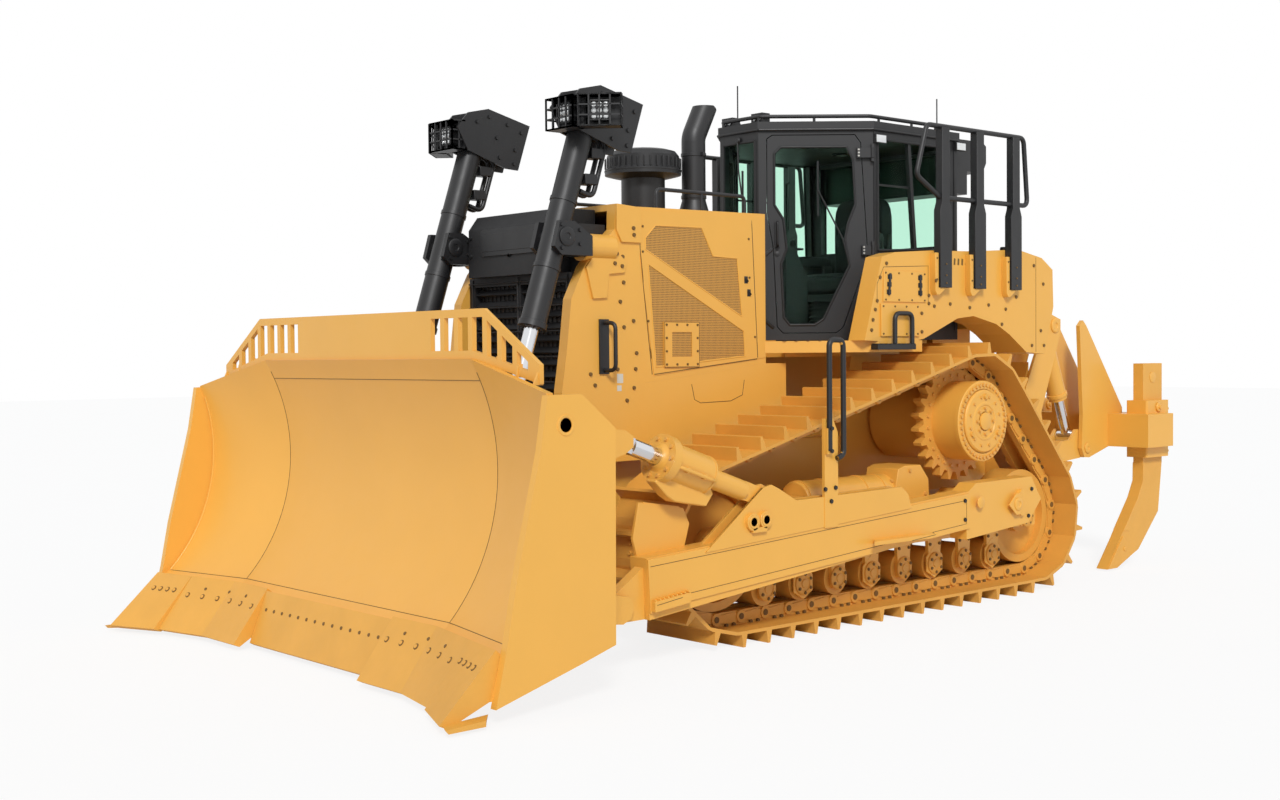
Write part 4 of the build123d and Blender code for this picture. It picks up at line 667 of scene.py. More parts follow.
@dataclass
class Fasteners:
    """Many equal heads set on spots, each facing its own way, made by a node tree."""

    name: str
    head: Head
    radius: float
    height: float
    finish: Finish
    taper: float = 0.86
    spots: list[tuple[Point, Point]] = field(default_factory=list)

    def add(self, spot: Point, facing: Point) -> None:
        """Set one head on a spot."""
        self.spots.append((spot, facing))

    def ring(self, middle: Point, radius: float, count: int, facing: int, start: float = 0) -> None:
        """Set a circle of heads across X.

        Args:
            middle: middle of the circle.
            radius: its radius.
            count: number of heads.
            facing: 1 or -1, the way the heads look along X.
            start: angle of the first head in degrees.
        """
        for i in range(count):
            a = radians(start) + 2 * pi * i / count
            self.add((middle[0], middle[1] + radius * cos(a), middle[2] + radius * sin(a)), (facing, 0, 0))

    def _tree(self) -> bpy.types.GeometryNodeTree:
        """Build the node tree that puts a head on every spot.

        Returns:
            The tree, with named inputs for the head's sizes.
        """
        tree = bpy.data.node_groups.new(self.name + "_tree", "GeometryNodeTree")
        tree.interface.new_socket("Geometry", in_out="INPUT", socket_type="NodeSocketGeometry")
        for label in ("Head Radius", "Head Height", "Top Radius"):
            tree.interface.new_socket(label, in_out="INPUT", socket_type="NodeSocketFloat")
        tree.interface.new_socket("Geometry", in_out="OUTPUT", socket_type="NodeSocketGeometry")
        new, link = tree.nodes.new, tree.links.new
        given, result = new("NodeGroupInput"), new("NodeGroupOutput")
        head = new("GeometryNodeMeshCone")
        head.inputs["Vertices"].default_value = self.head.value
        link(given.outputs["Head Radius"], head.inputs["Radius Bottom"])
        link(given.outputs["Top Radius"], head.inputs["Radius Top"])
        link(given.outputs["Head Height"], head.inputs["Depth"])
        facing = new("GeometryNodeInputNamedAttribute")
        facing.data_type = "FLOAT_VECTOR"
        facing.inputs["Name"].default_value = "facing"
        turn = new("FunctionNodeAlignRotationToVector")
        turn.axis = "Z"
        link(facing.outputs["Attribute"], turn.inputs["Vector"])
        spread = new("GeometryNodeInstanceOnPoints")
        link(given.outputs["Geometry"], spread.inputs["Points"])
        link(head.outputs["Mesh"], spread.inputs["Instance"])
        link(turn.outputs["Rotation"], spread.inputs["Rotation"])
        real = new("GeometryNodeRealizeInstances")
        link(spread.outputs["Instances"], real.inputs["Geometry"])
        paint = new("GeometryNodeSetMaterial")
        paint.inputs["Material"].default_value = Finishes.get(self.finish)
        link(real.outputs["Geometry"], paint.inputs["Geometry"])
        link(paint.outputs["Geometry"], result.inputs["Geometry"])
        return tree

    def piece(self, body: Body = Body.MACHINE) -> Thing:
        """Make all heads one plain mesh that rides on a body.

        Args:
            body: body the heads move with.

        Returns:
            The object.
        """
        cloud = bpy.data.meshes.new(self.name + "_spots")
        cloud.from_pydata([tuple(c * MM for c in spot) for spot, _ in self.spots], [], [])
        ways = cloud.attributes.new("facing", "FLOAT_VECTOR", "POINT")
        for value, (_, way) in zip(ways.data, self.spots):
            value.vector = Vector(way).normalized()
        carrier = stand(self.name + "_carrier", cloud)
        grow = carrier.modifiers.new("heads", "NODES")
        tree = self._tree()
        grow.node_group = tree
        sizes = {"Head Radius": self.radius, "Head Height": self.height,
            "Top Radius": self.radius * self.taper}
        for item in tree.interface.items_tree:
            if item.in_out == "INPUT" and item.name in sizes:
                grow[item.identifier] = sizes[item.name] * MM
        made = bpy.data.meshes.new_from_object(carrier.evaluated_get(bpy.context.evaluated_depsgraph_get()))
        bpy.data.objects.remove(carrier)
        made.name = self.name
        thing = stand(self.name, made)
        made.shade_smooth()
        made.set_sharp_from_angle(angle=radians(30))
        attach(thing, body.value)
        LOG.info("%s: %d heads on %s", self.name, len(self.spots), body.value)
        return thing


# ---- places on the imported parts
class Skin:
    """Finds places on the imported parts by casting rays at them, in millimetres."""

    _trees: dict[tuple[str, ...], BVHTree] = {}

    @classmethod
    def _tree(cls, parts: tuple[str, ...]) -> BVHTree:
        """Search tree over some parts' faces.

        Args:
            parts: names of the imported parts.

        Returns:
            The tree, built on first use.
        """
        if parts not in cls._trees:
            corners: list[Vector] = []
            faces: list[list[int]] = []
            for part in parts:
                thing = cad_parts.get(part) or bpy.data.objects[part]
                base = len(corners)
                corners += [thing.matrix_world @ vertex.co for vertex in thing.data.vertices]
                faces += [[base + i for i in face.vertices] for face in thing.data.polygons]
            cls._trees[parts] = BVHTree.FromPolygons(corners, faces)
        return cls._trees[parts]

    @classmethod
    def hit(cls, parts: tuple[str, ...], start: Point, toward: Point) -> tuple[Point, Point] | None:
        """First place that a ray meets.

        Args:
            parts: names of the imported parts.
            start: where the ray starts.
            toward: way it runs.

        Returns:
            The place and the outward normal there, or None where it meets nothing.
        """
        way = Vector(toward).normalized()
        spot, normal, _, _ = cls._tree(parts).ray_cast(Vector(start) * MM, way)
        if spot is None:
            return None
        if normal.dot(way) > 0:
            normal.negate()
        return tuple(spot / MM), tuple(normal)

    @classmethod
    def trace(cls, parts: tuple[str, ...], starts: Sequence[Point], toward: Point) -> list[Point]:
        """Line over a surface, from a row of parallel rays."""
        found = [cls.hit(parts, start, toward) for start in starts]
        return [place[0] for place in found if place]


class Seated(Fasteners):
    """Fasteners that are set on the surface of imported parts."""

    def seat(self, parts: tuple[str, ...], start: Point, toward: Point) -> None:
        """Set one head where a ray meets the parts.

        Args:
            parts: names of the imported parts.
            start: where the ray starts.
            toward: way it runs.
        """
        place = Skin.hit(parts, start, toward)
        if place:
            self.add(*place)
        else:
            LOG.warning("%s: nothing to sit on at %s", self.name, start)

    def flanks(self, parts: tuple[str, ...], spots: Sequence[Flat], reach: float,
            sides: Sequence[int] = SIDES) -> None:
        """Set heads on both flanks.

        Args:
            parts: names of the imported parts.
            spots: (y, z) of each head.
            reach: distance from the middle plane to start from, outside the flank.
            sides: flanks that get them.
        """
        for side in sides:
            for y, z in spots:
                self.seat(parts, (side * reach, y, z), (-side, 0, 0))


def spaced(start: float, end: float, count: int) -> list[float]:
    """Even steps from start to end, both included."""
    return [start + (end - start) * i / (count - 1) for i in range(count)]


def seams(shape: Shape, parts: tuple[str, ...], runs: Sequence[Sequence[Flat]], reach: float,
        radius: float) -> None:
    """Shadow lines along joints, on both flanks.

    Args:
        shape: shape that takes the lines.
        parts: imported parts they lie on.
        runs: (y, z) of each line's corners.
        reach: distance from the middle plane to start from.
        radius: half a line's width.
    """
    for side in SIDES:
        for corners in runs:
            line: list[Point] = []
            for (y0, z0), (y1, z1) in zip(corners, corners[1:]):
                steps = max(2, int(hypot(y1 - y0, z1 - z0) / SEAM_STEP))
                line += [(side * reach, y, z) for y, z in zip(spaced(y0, y1, steps), spaced(z0, z1, steps))]
            traced = Skin.trace(parts, line, (-side, 0, 0))
            clean = [spot for i,
                spot in enumerate(traced) if not i or (Vector(spot) - Vector(traced[i - 1])).length > 1]
            if len(clean) > 1:
                shape.tube(clean, radius, sides=6)


# ---- blade
@dataclass
class BladeDress:
    """Edge bolts, plate seams and weld lines of the blade."""

    crease_x: float = 1142
    half_width: float = 1905
    front_y: float = -4400
    centre_bolts: int = 14
    side_bolts: int = 6
    tie_hole: Flat = (-3180, 1440)

    def build(self) -> None:
        """Build every piece of the blade's dress."""
        self._edge_bolts()
        self._seams()
        self._back_bolts()

    def _edge_bolts(self) -> None:
        """Bolt rows of the centre edge, the side edges and the end bits."""
        edges = ("cutting_edges",)
        small = Seated("edge_bolts_small", Head.ROUND, 11, 4, Finishes.SEAM)
        large = Seated("edge_bolts_large", Head.ROUND, 19, 4, Finishes.SEAM)
        plugs = Seated("edge_bolt_heads", Head.ROUND, 13, 7, Finishes.WORN_YELLOW)
        for x in spaced(-640, 640, self.centre_bolts):
            small.seat(edges, (x, self.front_y, 245), (0, 1, 0))
        for side in SIDES:
            for x in spaced(775, 1490, self.side_bolts):
                large.seat(edges, (side * x, self.front_y, 255), (0, 1, 0))
                plugs.seat(edges, (side * x, self.front_y, 255), (0, 1, 0))
            for x in (905, 1130, 1360):
                small.seat(edges, (side * x, self.front_y, 300), (0, 1, 0))
            for x in spaced(1625, 1815, 4):
                large.seat(edges, (side * x, self.front_y, 275), (0, 1, 0))
                plugs.seat(edges, (side * x, self.front_y, 275), (0, 1, 0))
        for set_of in (small, large, plugs):
            set_of.piece(Body.BLADE)

    def _seams(self) -> None:
        """Shadow lines where the moldboard's plates meet."""
        skin = ("blade_moldboard",)
        lines, welds = Shape(), Shape()
        heights = spaced(372, 1700, 24)
        for side in SIDES:
            crease = Skin.trace(skin, [(side * self.crease_x, self.front_y, z) for z in heights], (0, 1, 0))
            lines.tube(crease, 2.2, sides=6)
            wing = Skin.trace(skin, [(side * (self.half_width - 14), self.front_y, z) for z in heights[:-3]],
                (0, 1, 0))
            welds.tube(wing, 7, sides=8)
        for z, half in ((1655, self.crease_x), (372, self.half_width - 20)):
            xs = spaced(-half, half, 41)
            lines.tube(Skin.trace(skin, [(x, self.front_y, z) for x in xs], (0, 1, 0)), 2.2, sides=6)
        lines.piece("moldboard_seams", Finishes.SEAM, Body.BLADE)
        welds.piece("moldboard_welds", Finishes.YELLOW, Body.BLADE, angle=60)

    def _back_bolts(self) -> None:
        """Bolts of the spill guard's feet and rings round the tie holes."""
        guard = ("rock_guard", "blade_moldboard")
        feet = Seated("spill_guard_bolts", Head.HEX, 15, 11, Finishes.BOLT_YELLOW)
        for x in (-1080, -860, -640, -420, -200, 200, 420, 640, 860, 1080):
            feet.seat(guard, (x, -2700, 1712), (0, -1, 0))
        feet.piece(Body.BLADE)
        rings = Shape()
        for side in SIDES:
            y, z = self.tie_hole
            x = side * (self.half_width + 45)
            rings.turned((x, y, z), (side, 0, 0), [(38, 0), (38, 3), (41, 5), (52, 5), (55, 0)])
        rings.piece("tie_hole_rings", Finishes.YELLOW, Body.BLADE)


# ---- push arms
@dataclass
class PushArmDress:
    """Bolts, caps, grab loops, seams and the foot tread of both push arms."""

    outer_x: float = 1527
    trunnion: Flat = (1228, 707)
    diamond: Flat = (105, 75)
    reach: float = 1700
    joint: Sequence[Flat] = ((-2245, 600), (660, 770), (660, 610), (-1939, 420), (-2225, 385))

    def build(self) -> None:
        """Build every piece of the arms' dress."""
        arms = ("push_arm_left", "push_arm_right", "arm_plates")
        bolts = Seated("arm_bolts", Head.HEX, 15, 11, Finishes.BLACK)
        bolts.flanks(arms, [(-795, 942), (-700, 946), (-740, 864), (-770, 1180), (-770, 1320)], self.reach)
        bolts.flanks(arms, [(640, 770), (640, 640), (1440, 800), (1400, 610)], self.reach)
        bolts.piece(Body.ARMS)
        caps, lines, loops = Shape(), Shape(), Shape()
        for side in SIDES:
            y, z = self.trunnion
            place = Skin.hit(arms, (side * 1800, y, z), (-side, 0, 0))
            x = place[0][0] if place else side * self.outer_x
            wide, high = self.diamond
            corners = [(y - wide, z), (y - 20, z + high), (y + 20, z + high), (y + wide, z),
                (y + 20, z - high), (y - 20, z - high)]
            caps.prism(corners, x, x + side * 10)
            caps.turned((x + side * 10, y, z), (side, 0, 0), [(46, 0), (46, 5), (40, 8), (22, 8), (20, 3),
                (0, 3)])
            caps.turned((x, 798, 748), (side, 0, 0), [(40, 0), (40, 6), (34, 9), (0, 9)])
            for eye_y, eye_z in ((-1446, 790), (-1338, 796)):
                caps.turned((side * 1559, eye_y, eye_z), (side, 0, 0), [(27, 0), (27, 3), (38, 3), (41, 0)])
            for i in range(9):
                share = i / 8
                tread_y, tread_z = -2230 + 255 * share, 409 + 26 * share
                caps.box((side * 1520, tread_y - 5, tread_z - 4), (side * 1558, tread_y + 5, tread_z + 6))
            loop = side * (self.outer_x + 28)
            loops.tube([(loop, -770, 1180), (loop, -770, 1868), (loop, -640, 1868), (loop, -640, 1150),
                (loop, -700, 1130)], 17.5, 46, 16, 7)
        seams(lines, arms, [self.joint], self.reach, 2)
        loops.piece("arm_grab_loops", Finishes.BLACK, Body.ARMS)
        caps.piece("arm_caps", Finishes.YELLOW, Body.ARMS, bevel=1.5)
        lines.piece("arm_seams", Finishes.SEAM, Body.ARMS)
        ring = Seated("trunnion_cap_bolts", Head.HEX, 9, 7, Finishes.BOLT_YELLOW)
        for side in SIDES:
            for dy, dz in ((-72, 0), (72, 0), (0, 55), (0, -55)):
                ring.add((side * 1537, self.trunnion[0] + dy, self.trunnion[1] + dz), (side, 0, 0))
        ring.piece(Body.ARMS)


# ---- blade cylinders
@dataclass
class Cylinder:
    """Gland, clamps and bolts of one hydraulic cylinder in a plane of constant X."""

    x: float
    head: Flat
    eye: Flat

    def point(self, along: float, out: float = 0, across: float = 0) -> Point:
        """Place beside the cylinder.

        Args:
            along: distance from the head pin toward the eye.
            out: distance off the axis, toward +Y.
            across: distance off the axis, toward +X.

        Returns:
            The place.
        """
        run_y, run_z = self.eye[0] - self.head[0], self.eye[1] - self.head[1]
        length = hypot(run_y, run_z)
        dy, dz = run_y / length, run_z / length
        return (self.x + across, self.head[0] + dy * along - dz * out, self.head[1] + dz * along + dy * out)

    def axis(self) -> Point:
        """Way from the head pin to the eye."""
        return tuple(Vector(self.point(1)) - Vector(self.point(0)))

    def collar(self, shape: Shape, along: float, profile: Sequence[Flat]) -> None:
        """Turned ring on the cylinder."""
        shape.turned(self.point(along), self.axis(), profile, closed=True)

    def gland_bolts(self, bolts: Fasteners, along: float, radius: float, count: int) -> None:
        """Circle of bolts on the gland's face.

        Args:
            bolts: set that takes the heads.
            along: distance of the face from the head pin.
            radius: radius of the circle.
            count: number of bolts.
        """
        for i in range(count):
            angle = 2 * pi * (i + 0.5) / count
            bolts.add(self.point(along, radius * cos(angle), radius * sin(angle)), self.axis())


@dataclass
class BladeCylinders:
    """Dress of the tilt and lift cylinders and their trunnions."""

    tilt_x: float = 1478
    tilt_head: Flat = (-1272, 907)
    tilt_eye: Flat = (-2427, 1307)
    lift_x: float = 583
    trunnion: Flat = (-2157, 2500)
    lift_eye: Flat = (-2680, 900)
    yoke_reach: float = 190

    def build(self) -> None:
        """Build every piece of the cylinders' dress."""
        self._tilt()
        self._lift()
        self._trunnions()

    def _tilt(self) -> None:
        """Glands, pipes and clamps of the tilt cylinders."""
        rings, pipes = Shape(), Shape()
        bolts = Fasteners("tilt_gland_bolts", Head.HEX, 13, 12, Finishes.BOLT_YELLOW)
        for side in SIDES:
            ram = Cylinder(side * self.tilt_x, self.tilt_head, self.tilt_eye)
            ram.collar(rings, 905, [(51, 0), (51, 28), (62, 28), (74, 16), (86, 10), (86, 0)])
            ram.collar(rings, 528, [(60, 0), (74, 0), (118, 14), (118, 26), (60, 26)])
            ram.gland_bolts(bolts, 915, 112, 10)
            pipes.tube([ram.point(560, 30, side * 116), ram.point(600, 34, side * 132),
                ram.point(820, 34, side * 132), ram.point(860, 30, side * 118)], 12, 25)
            for along in (640, 780):
                pipes.box(tuple(c - 14 for c in ram.point(along, 32, side * 122)),
                    tuple(c + 14 for c in ram.point(along, 32, side * 122)))
        rings.piece("tilt_glands", Finishes.YELLOW, Body.TILT_BARRELS)
        pipes.piece("tilt_pipes", Finishes.YELLOW, Body.TILT_BARRELS, bevel=1.5)
        bolts.piece(Body.TILT_BARRELS)

    def _lift(self) -> None:
        """Glands, hose clamps and wipers of the lift cylinders."""
        rings, clamps = Shape(), Shape()
        bolts = Fasteners("lift_gland_bolts", Head.HEX, 8, 7, Finishes.BLACK)
        for side in SIDES:
            ram = Cylinder(side * self.lift_x, self.trunnion, self.lift_eye)
            ram.collar(rings, 536, [(81, 0), (88, 3), (88, 38), (82, 42), (60, 42), (47, 42), (47, 36)])
            ram.collar(rings, -250, [(80, 0), (85, 2), (85, 26), (80, 28)])
            ram.collar(rings, 180, [(80, 0), (85, 2), (85, 26), (80, 28)])
            ram.gland_bolts(bolts, 578, 68, 8)
            for along in (-600, -430):
                low, high = ram.point(along - 12, 74, -50), ram.point(along + 12, 206, 50)
                clamps.box(low, (high[0], high[1] - 22, high[2]))
        rings.piece("lift_glands", Finishes.BLACK, Body.LIFT_BARRELS)
        clamps.piece("hose_clamps", Finishes.BLACK, Body.LIFT_BARRELS, bevel=4)
        bolts.piece(Body.LIFT_BARRELS)

    def _trunnions(self) -> None:
        """Caps and bolts on the yokes that hold the lift cylinders."""
        yokes = ("lift_yokes",)
        caps = Shape()
        bolts = Seated("yoke_bolts", Head.HEX, 13, 11, Finishes.BLACK)
        for side in SIDES:
            for face in SIDES:
                y, z = self.trunnion
                start = side * self.lift_x + face * self.yoke_reach
                place = Skin.hit(yokes, (start, y, z + 66), (-face, 0, 0))
                if not place:
                    LOG.warning("no yoke face beside %.0f", start)
                    continue
                caps.turned((place[0][0] - face * 2, y, z), (face, 0, 0),
                    [(58, 0), (58, 9), (50, 14), (22, 14), (18, 9), (0, 9)])
                for dy, dz in ((100, 42), (100, -42), (-40, 70), (-40, -70)):
                    bolts.seat(yokes, (start, y + dy, z + dz), (-face, 0, 0))
        caps.piece("trunnion_caps", Finishes.BLACK)
        bolts.piece()


@dataclass
class LampHeads:
    """Lamps, lenses and bolts of the heads on the lift cylinders."""

    lift_x: float = 583
    cage_bottom: float = 3150
    lamp_z: float = 97.5
    cages: Sequence[tuple[float, float, float]] = ((628, -2150, 0), (883, -2045, 45))
    cheek_bolts: Sequence[Flat] = ((-1950, 3345), (-1850, 3385), (-1700, 3345), (-1585, 3300), (-1640, 3180),
        (-1650, 3085), (-1770, 3120), (-1790, 3250))

    def place(self, side: int, cage: tuple[float, float, float]) -> Matrix:
        """Turn and shift of one cage."""
        x, y, turned = cage
        return Matrix.Translation((side * x, y, self.cage_bottom)) @ Matrix.Rotation(radians(side * turned),
            4, "Z")

    def build(self) -> None:
        """Build lenses, reflectors, rims and bolts."""
        rims, lenses, cells = Shape(), Shape(), Shape()
        for side in SIDES:
            for cage in self.cages:
                place = self.place(side, cage)
                ahead = tuple(place.to_3x3() @ Vector((0, -1, 0)))
                for dx in (-36, 0, 36):
                    for dz in (-36, 0, 36):
                        spot = tuple(place @ Vector((dx, 41, self.lamp_z + dz)))
                        cells.turned(spot, ahead, [(16, 0), (15, 2), (9, 1), (6, 0.5), (0, 0.5)], 16)
                        lenses.turned(spot, ahead, [(14, 2), (12, 5), (7, 7.5), (0, 8.5)], 16)
                for dx, dz, across in ((0, 58, 1), (0, -58, 1), (58, 0, 0), (-58, 0, 0)):
                    a = (dx - 58 * across, 36, self.lamp_z + dz - 58 * (1 - across))
                    b = (dx + 58 * across, 36, self.lamp_z + dz + 58 * (1 - across))
                    rims.tube([tuple(place @ Vector(a)), tuple(place @ Vector(b))], 6, sides=8)
                for dz in (-66, 66):
                    a, b = place @ Vector((0, 95, self.lamp_z + dz)), place @ Vector((0, 112,
                        self.lamp_z + dz))
                    rims.cylinder(tuple(a), tuple(b), 16, sides=16)
        rims.piece("head_lamp_rims", Finishes.BLACK, Body.LIFT_BARRELS)
        cells.piece("head_lamp_reflectors", Finishes.REFLECTOR, Body.LIFT_BARRELS)
        lenses.piece("head_lamp_lenses", Finishes.LENS, Body.LIFT_BARRELS, angle=60)
        bolts = Seated("lamp_head_bolts", Head.HEX, 15, 10, Finishes.BLACK)
        for side in SIDES:
            for face in SIDES:
                for y, z in self.cheek_bolts:
                    bolts.seat(("lamp_heads",), (side * self.lift_x + face * 112, y, z), (-face, 0, 0))
        bolts.piece(Body.LIFT_BARRELS)


# ---- undercarriage
@dataclass
class TrackLoop:
    """Line of the track's pins round its three wheels."""

    pin_line: float = 149
    count: int = 44
    front: Flat = (-1372, 451)
    rear: Flat = (1835, 401)
    drive: tuple[float, float, float] = (1145, 1290, 425)

    def wheels(self) -> list[tuple[float, float, float]]:
        """Middle and radius of the wheels, along the loop."""
        return [(self.front[0], self.pin_line + self.front[1], self.front[1]),
            (self.rear[0], self.pin_line + self.rear[1], self.rear[1]), self.drive]

    @staticmethod
    def heading(first: tuple[float, float, float], second: tuple[float, float, float]) -> float:
        """Heading of the outer tangent from one wheel to the next."""
        run_y, run_z = second[0] - first[0], second[1] - first[1]
        return atan2(run_z, run_y) - asin((second[2] - first[2]) / hypot(run_y, run_z))

    def pins(self) -> list[Flat]:
        """Places of all pins, evenly spaced along the loop.

        Returns:
            (y, z) of each pin, in order.
        """
        wheels = self.wheels()
        headings = [self.heading(wheels[i], wheels[(i + 1) % 3]) for i in range(3)]
        line: list[Flat] = []
        for i, (y, z, radius) in enumerate(wheels):
            start = headings[i - 1] - pi / 2
            sweep = (headings[i] - headings[i - 1]) % (2 * pi)
            line += [(y + radius * cos(start + sweep * k / 60),
                z + radius * sin(start + sweep * k / 60)) for k in range(61)]
        line.append(line[0])
        lengths = [hypot(b[0] - a[0], b[1] - a[1]) for a, b in zip(line, line[1:])]
        first = sum(lengths[:60])
        step = sum(lengths) / self.count
        return [self._along(line, lengths, (first + i * step) % sum(lengths)) for i in range(self.count)]

    @staticmethod
    def _along(line: Sequence[Flat], lengths: Sequence[float], travel: float) -> Flat:
        """Place at a distance along a line.

        Args:
            line: points of the line.
            lengths: length of each part of it.
            travel: distance from its start.

        Returns:
            The place.
        """
        for (a, b), length in zip(zip(line, line[1:]), lengths):
            if travel <= length:
                share = travel / length if length else 0
                return (a[0] + (b[0] - a[0]) * share, a[1] + (b[1] - a[1]) * share)
            travel -= length
        return line[-1]


@dataclass
class Undercarriage:
    """Links, shoe bolts, roller caps and wheel bolts of both tracks."""

    half_gauge: float = 1041
    rail_half: float = 101
    pin_to_plate: float = 71
    roller_ys: Sequence[float] = tuple(-950 + 341 * i for i in range(8))
    roller_z: float = 299.3
    hub: Flat = (1145, 1290)
    hub_face: float = 1310
    idlers: Sequence[Flat] = ((-1372, 600), (1835, 550))
    waist: Sequence[Flat] = ((0.10, 22), (0.42, 34), (0.90, 30), (0.90, -20), (0.66, -30), (0.10, -18))

    def build(self) -> None:
        """Build every piece of the undercarriage's dress."""
        self._links()
        self._rollers()
        self._drive()
        self._frames()

    def _links(self) -> None:
        """Pin bosses and side plates of the links, and the bolts on the shoes."""
        pins = TrackLoop().pins()
        bosses = Fasteners("link_bosses", Head.ROUND, 44, 16, Finishes.TRACK_YELLOW, 0.9)
        ends = Fasteners("link_pin_ends", Head.ROUND, 22, 20, Finishes.SEAM, 0.9)
        nuts = Fasteners("link_nuts", Head.HEX, 14, 14, Finishes.SEAM)
        bolts = Fasteners("shoe_bolts", Head.HEX, 15, 12, Finishes.WORN_YELLOW)
        plates = Shape()
        rail = Skin.hit(("track_left",), (1700, *pins[6]), (-1, 0, 0))
        rail_half = rail[0][0] - self.half_gauge if rail else self.rail_half
        LOG.info("rails stand %.1f from the middle of the track", rail_half)
        pitches = []
        for (y, z), (next_y, next_z) in zip(pins, pins[1:] + pins[:1]):
            pitch = hypot(next_y - y, next_z - z)
            pitches.append((y, z, (next_y - y) / pitch, (next_z - z) / pitch, pitch))
        for side in SIDES:
            for face in SIDES:
                x = side * self.half_gauge + face * rail_half
                for y, z, uy, uz, pitch in pitches:
                    bosses.add((x, y, z), (face, 0, 0))
                    ends.add((x, y, z), (face, 0, 0))
                    outline = [(y + uy * pitch * s + uz * h, z + uz * pitch * s - uy * h) for s,
                        h in self.waist]
                    plates.prism(outline, x, x + face * 9)
                    for s in (0.42, 0.72):
                        nuts.add((x + face * 2, y + uy * pitch * s + uz * 44, z + uz * pitch * s - uy * 44),
                            (face, 0, 0))
            for y, z, uy, uz, pitch in pitches:
                for s in (0.52, 0.80):
                    for across in (-98, -58, 58, 98):
                        bolts.add((side * self.half_gauge + across,
                            y + uy * pitch * s + uz * self.pin_to_plate,
                            z + uz * pitch * s - uy * self.pin_to_plate), (0, uz, -uy))
        plates.piece("link_plates", Finishes.TRACK_YELLOW)
        for set_of in (bosses, ends, nuts, bolts):
            set_of.piece()

    def _rollers(self) -> None:
        """End caps and bolts of the rollers and the idlers' hubs."""
        caps = Shape()
        bolts = Fasteners("roller_bolts", Head.HEX, 12, 9, Finishes.SEAM)
        parts = ("roller_frame_left", "roller_frame_right", "track_rollers", "recoil_housings")
        for side in SIDES:
            for y in self.roller_ys:
                x = side * (self.half_gauge + 139)
                profile = [(78, 0), (78, 8), (70, 14), (50, 16), (46, 10), (30, 10), (26, 16), (0, 16)]
                place = Skin.hit(parts, (side * 1400, y, self.roller_z), (-side, 0, 0))
                face_x = abs(place[0][0]) if place else self.half_gauge + 141
                caps.turned((side * face_x, y, self.roller_z), (side, 0, 0), profile, 28)
                bolts.ring((side * (face_x + 13), y, self.roller_z), 60, 6, side, 30)
                for dy in (-52, 52):
                    bolts.add((x, y + dy, 436), (side, 0, 0))
            for y, z in self.idlers:
                caps.turned((side * (self.half_gauge + 158), y, z), (side, 0, 0),
                    [(78, 0), (78, 14), (66, 22), (34, 24), (30, 14), (0, 14)], 32)
                bolts.ring((side * (self.half_gauge + 172), y, z), 54, 6, side)
        caps.piece("roller_caps", Finishes.TRACK_YELLOW)
        bolts.piece()

    def _drive(self) -> None:
        """Bolt rings, rim and plugs of the final drives."""
        rims = Shape()
        outer = Fasteners("drive_rim_bolts", Head.HEX, 14, 13, Finishes.BOLT_YELLOW)
        inner = Fasteners("drive_cover_bolts", Head.HEX, 11, 10, Finishes.BOLT_YELLOW)
        marks = Fasteners("drive_plugs", Head.ROUND, 21, 16, Finishes.WORN_YELLOW)
        segments = Fasteners("sprocket_bolts", Head.HEX, 13, 12, Finishes.BOLT_YELLOW)
        y, z = self.hub
        for side in SIDES:
            face = side * self.hub_face
            rims.turned((face, y, z), (side, 0, 0), [(231, 0), (231, 3), (284, 3), (290, -2), (290, -34)], 64)
            rims.turned((face + side * 14, y, z), (side, 0, 0), [(222, 0), (214, 6), (140, 6), (132, 10),
                (118, 10), (112, 4), (66, 4)], 64)
            outer.ring((face + side * 3, y, z), 258, 40, side)
            inner.ring((face + side * 20, y, z), 176, 12, side, 15)
            inner.ring((face + side * 24, y, z), 92, 8, side)
            marks.ring((face + side * 20, y, z), 176, 3, side, 90)
            segments.ring((side * (self.half_gauge + 35), y, z), 330, 25, side)
            segments.ring((side * (self.half_gauge - 35), y, z), 330, 25, -side)
        rims.piece("drive_rims", Finishes.YELLOW, angle=25)
        for set_of in (outer, inner, marks, segments):
            set_of.piece()

    def _frames(self) -> None:
        """Bolts and bands on the roller frames and the recoil tubes."""
        parts = ("roller_frame_left", "roller_frame_right", "recoil_housings")
        bolts = Seated("frame_bolts", Head.HEX, 16, 12, Finishes.BOLT_YELLOW)
        bolts.flanks(parts, [(-700, 690), (-500, 690), (-620, 540), (-380, 540), (-140, 540), (1290, 640),
            (1400, 540), (330, 900), (330, 800), (650, 800), (480, 970)], 1300)
        bolts.flanks(parts, [(-1290, 650), (-1290, 560), (1760, 610), (1760, 500)], 1300)
        bolts.piece()
        bands = Shape()
        for side in SIDES:
            for y in (-520, -300, 60, 240):
                bands.turned((side * self.half_gauge, y, 815), (0, 1, 0),
                    [(131, 0), (138, 2), (138, 30), (131, 32)], 40)
        bands.piece("recoil_bands", Finishes.YELLOW)


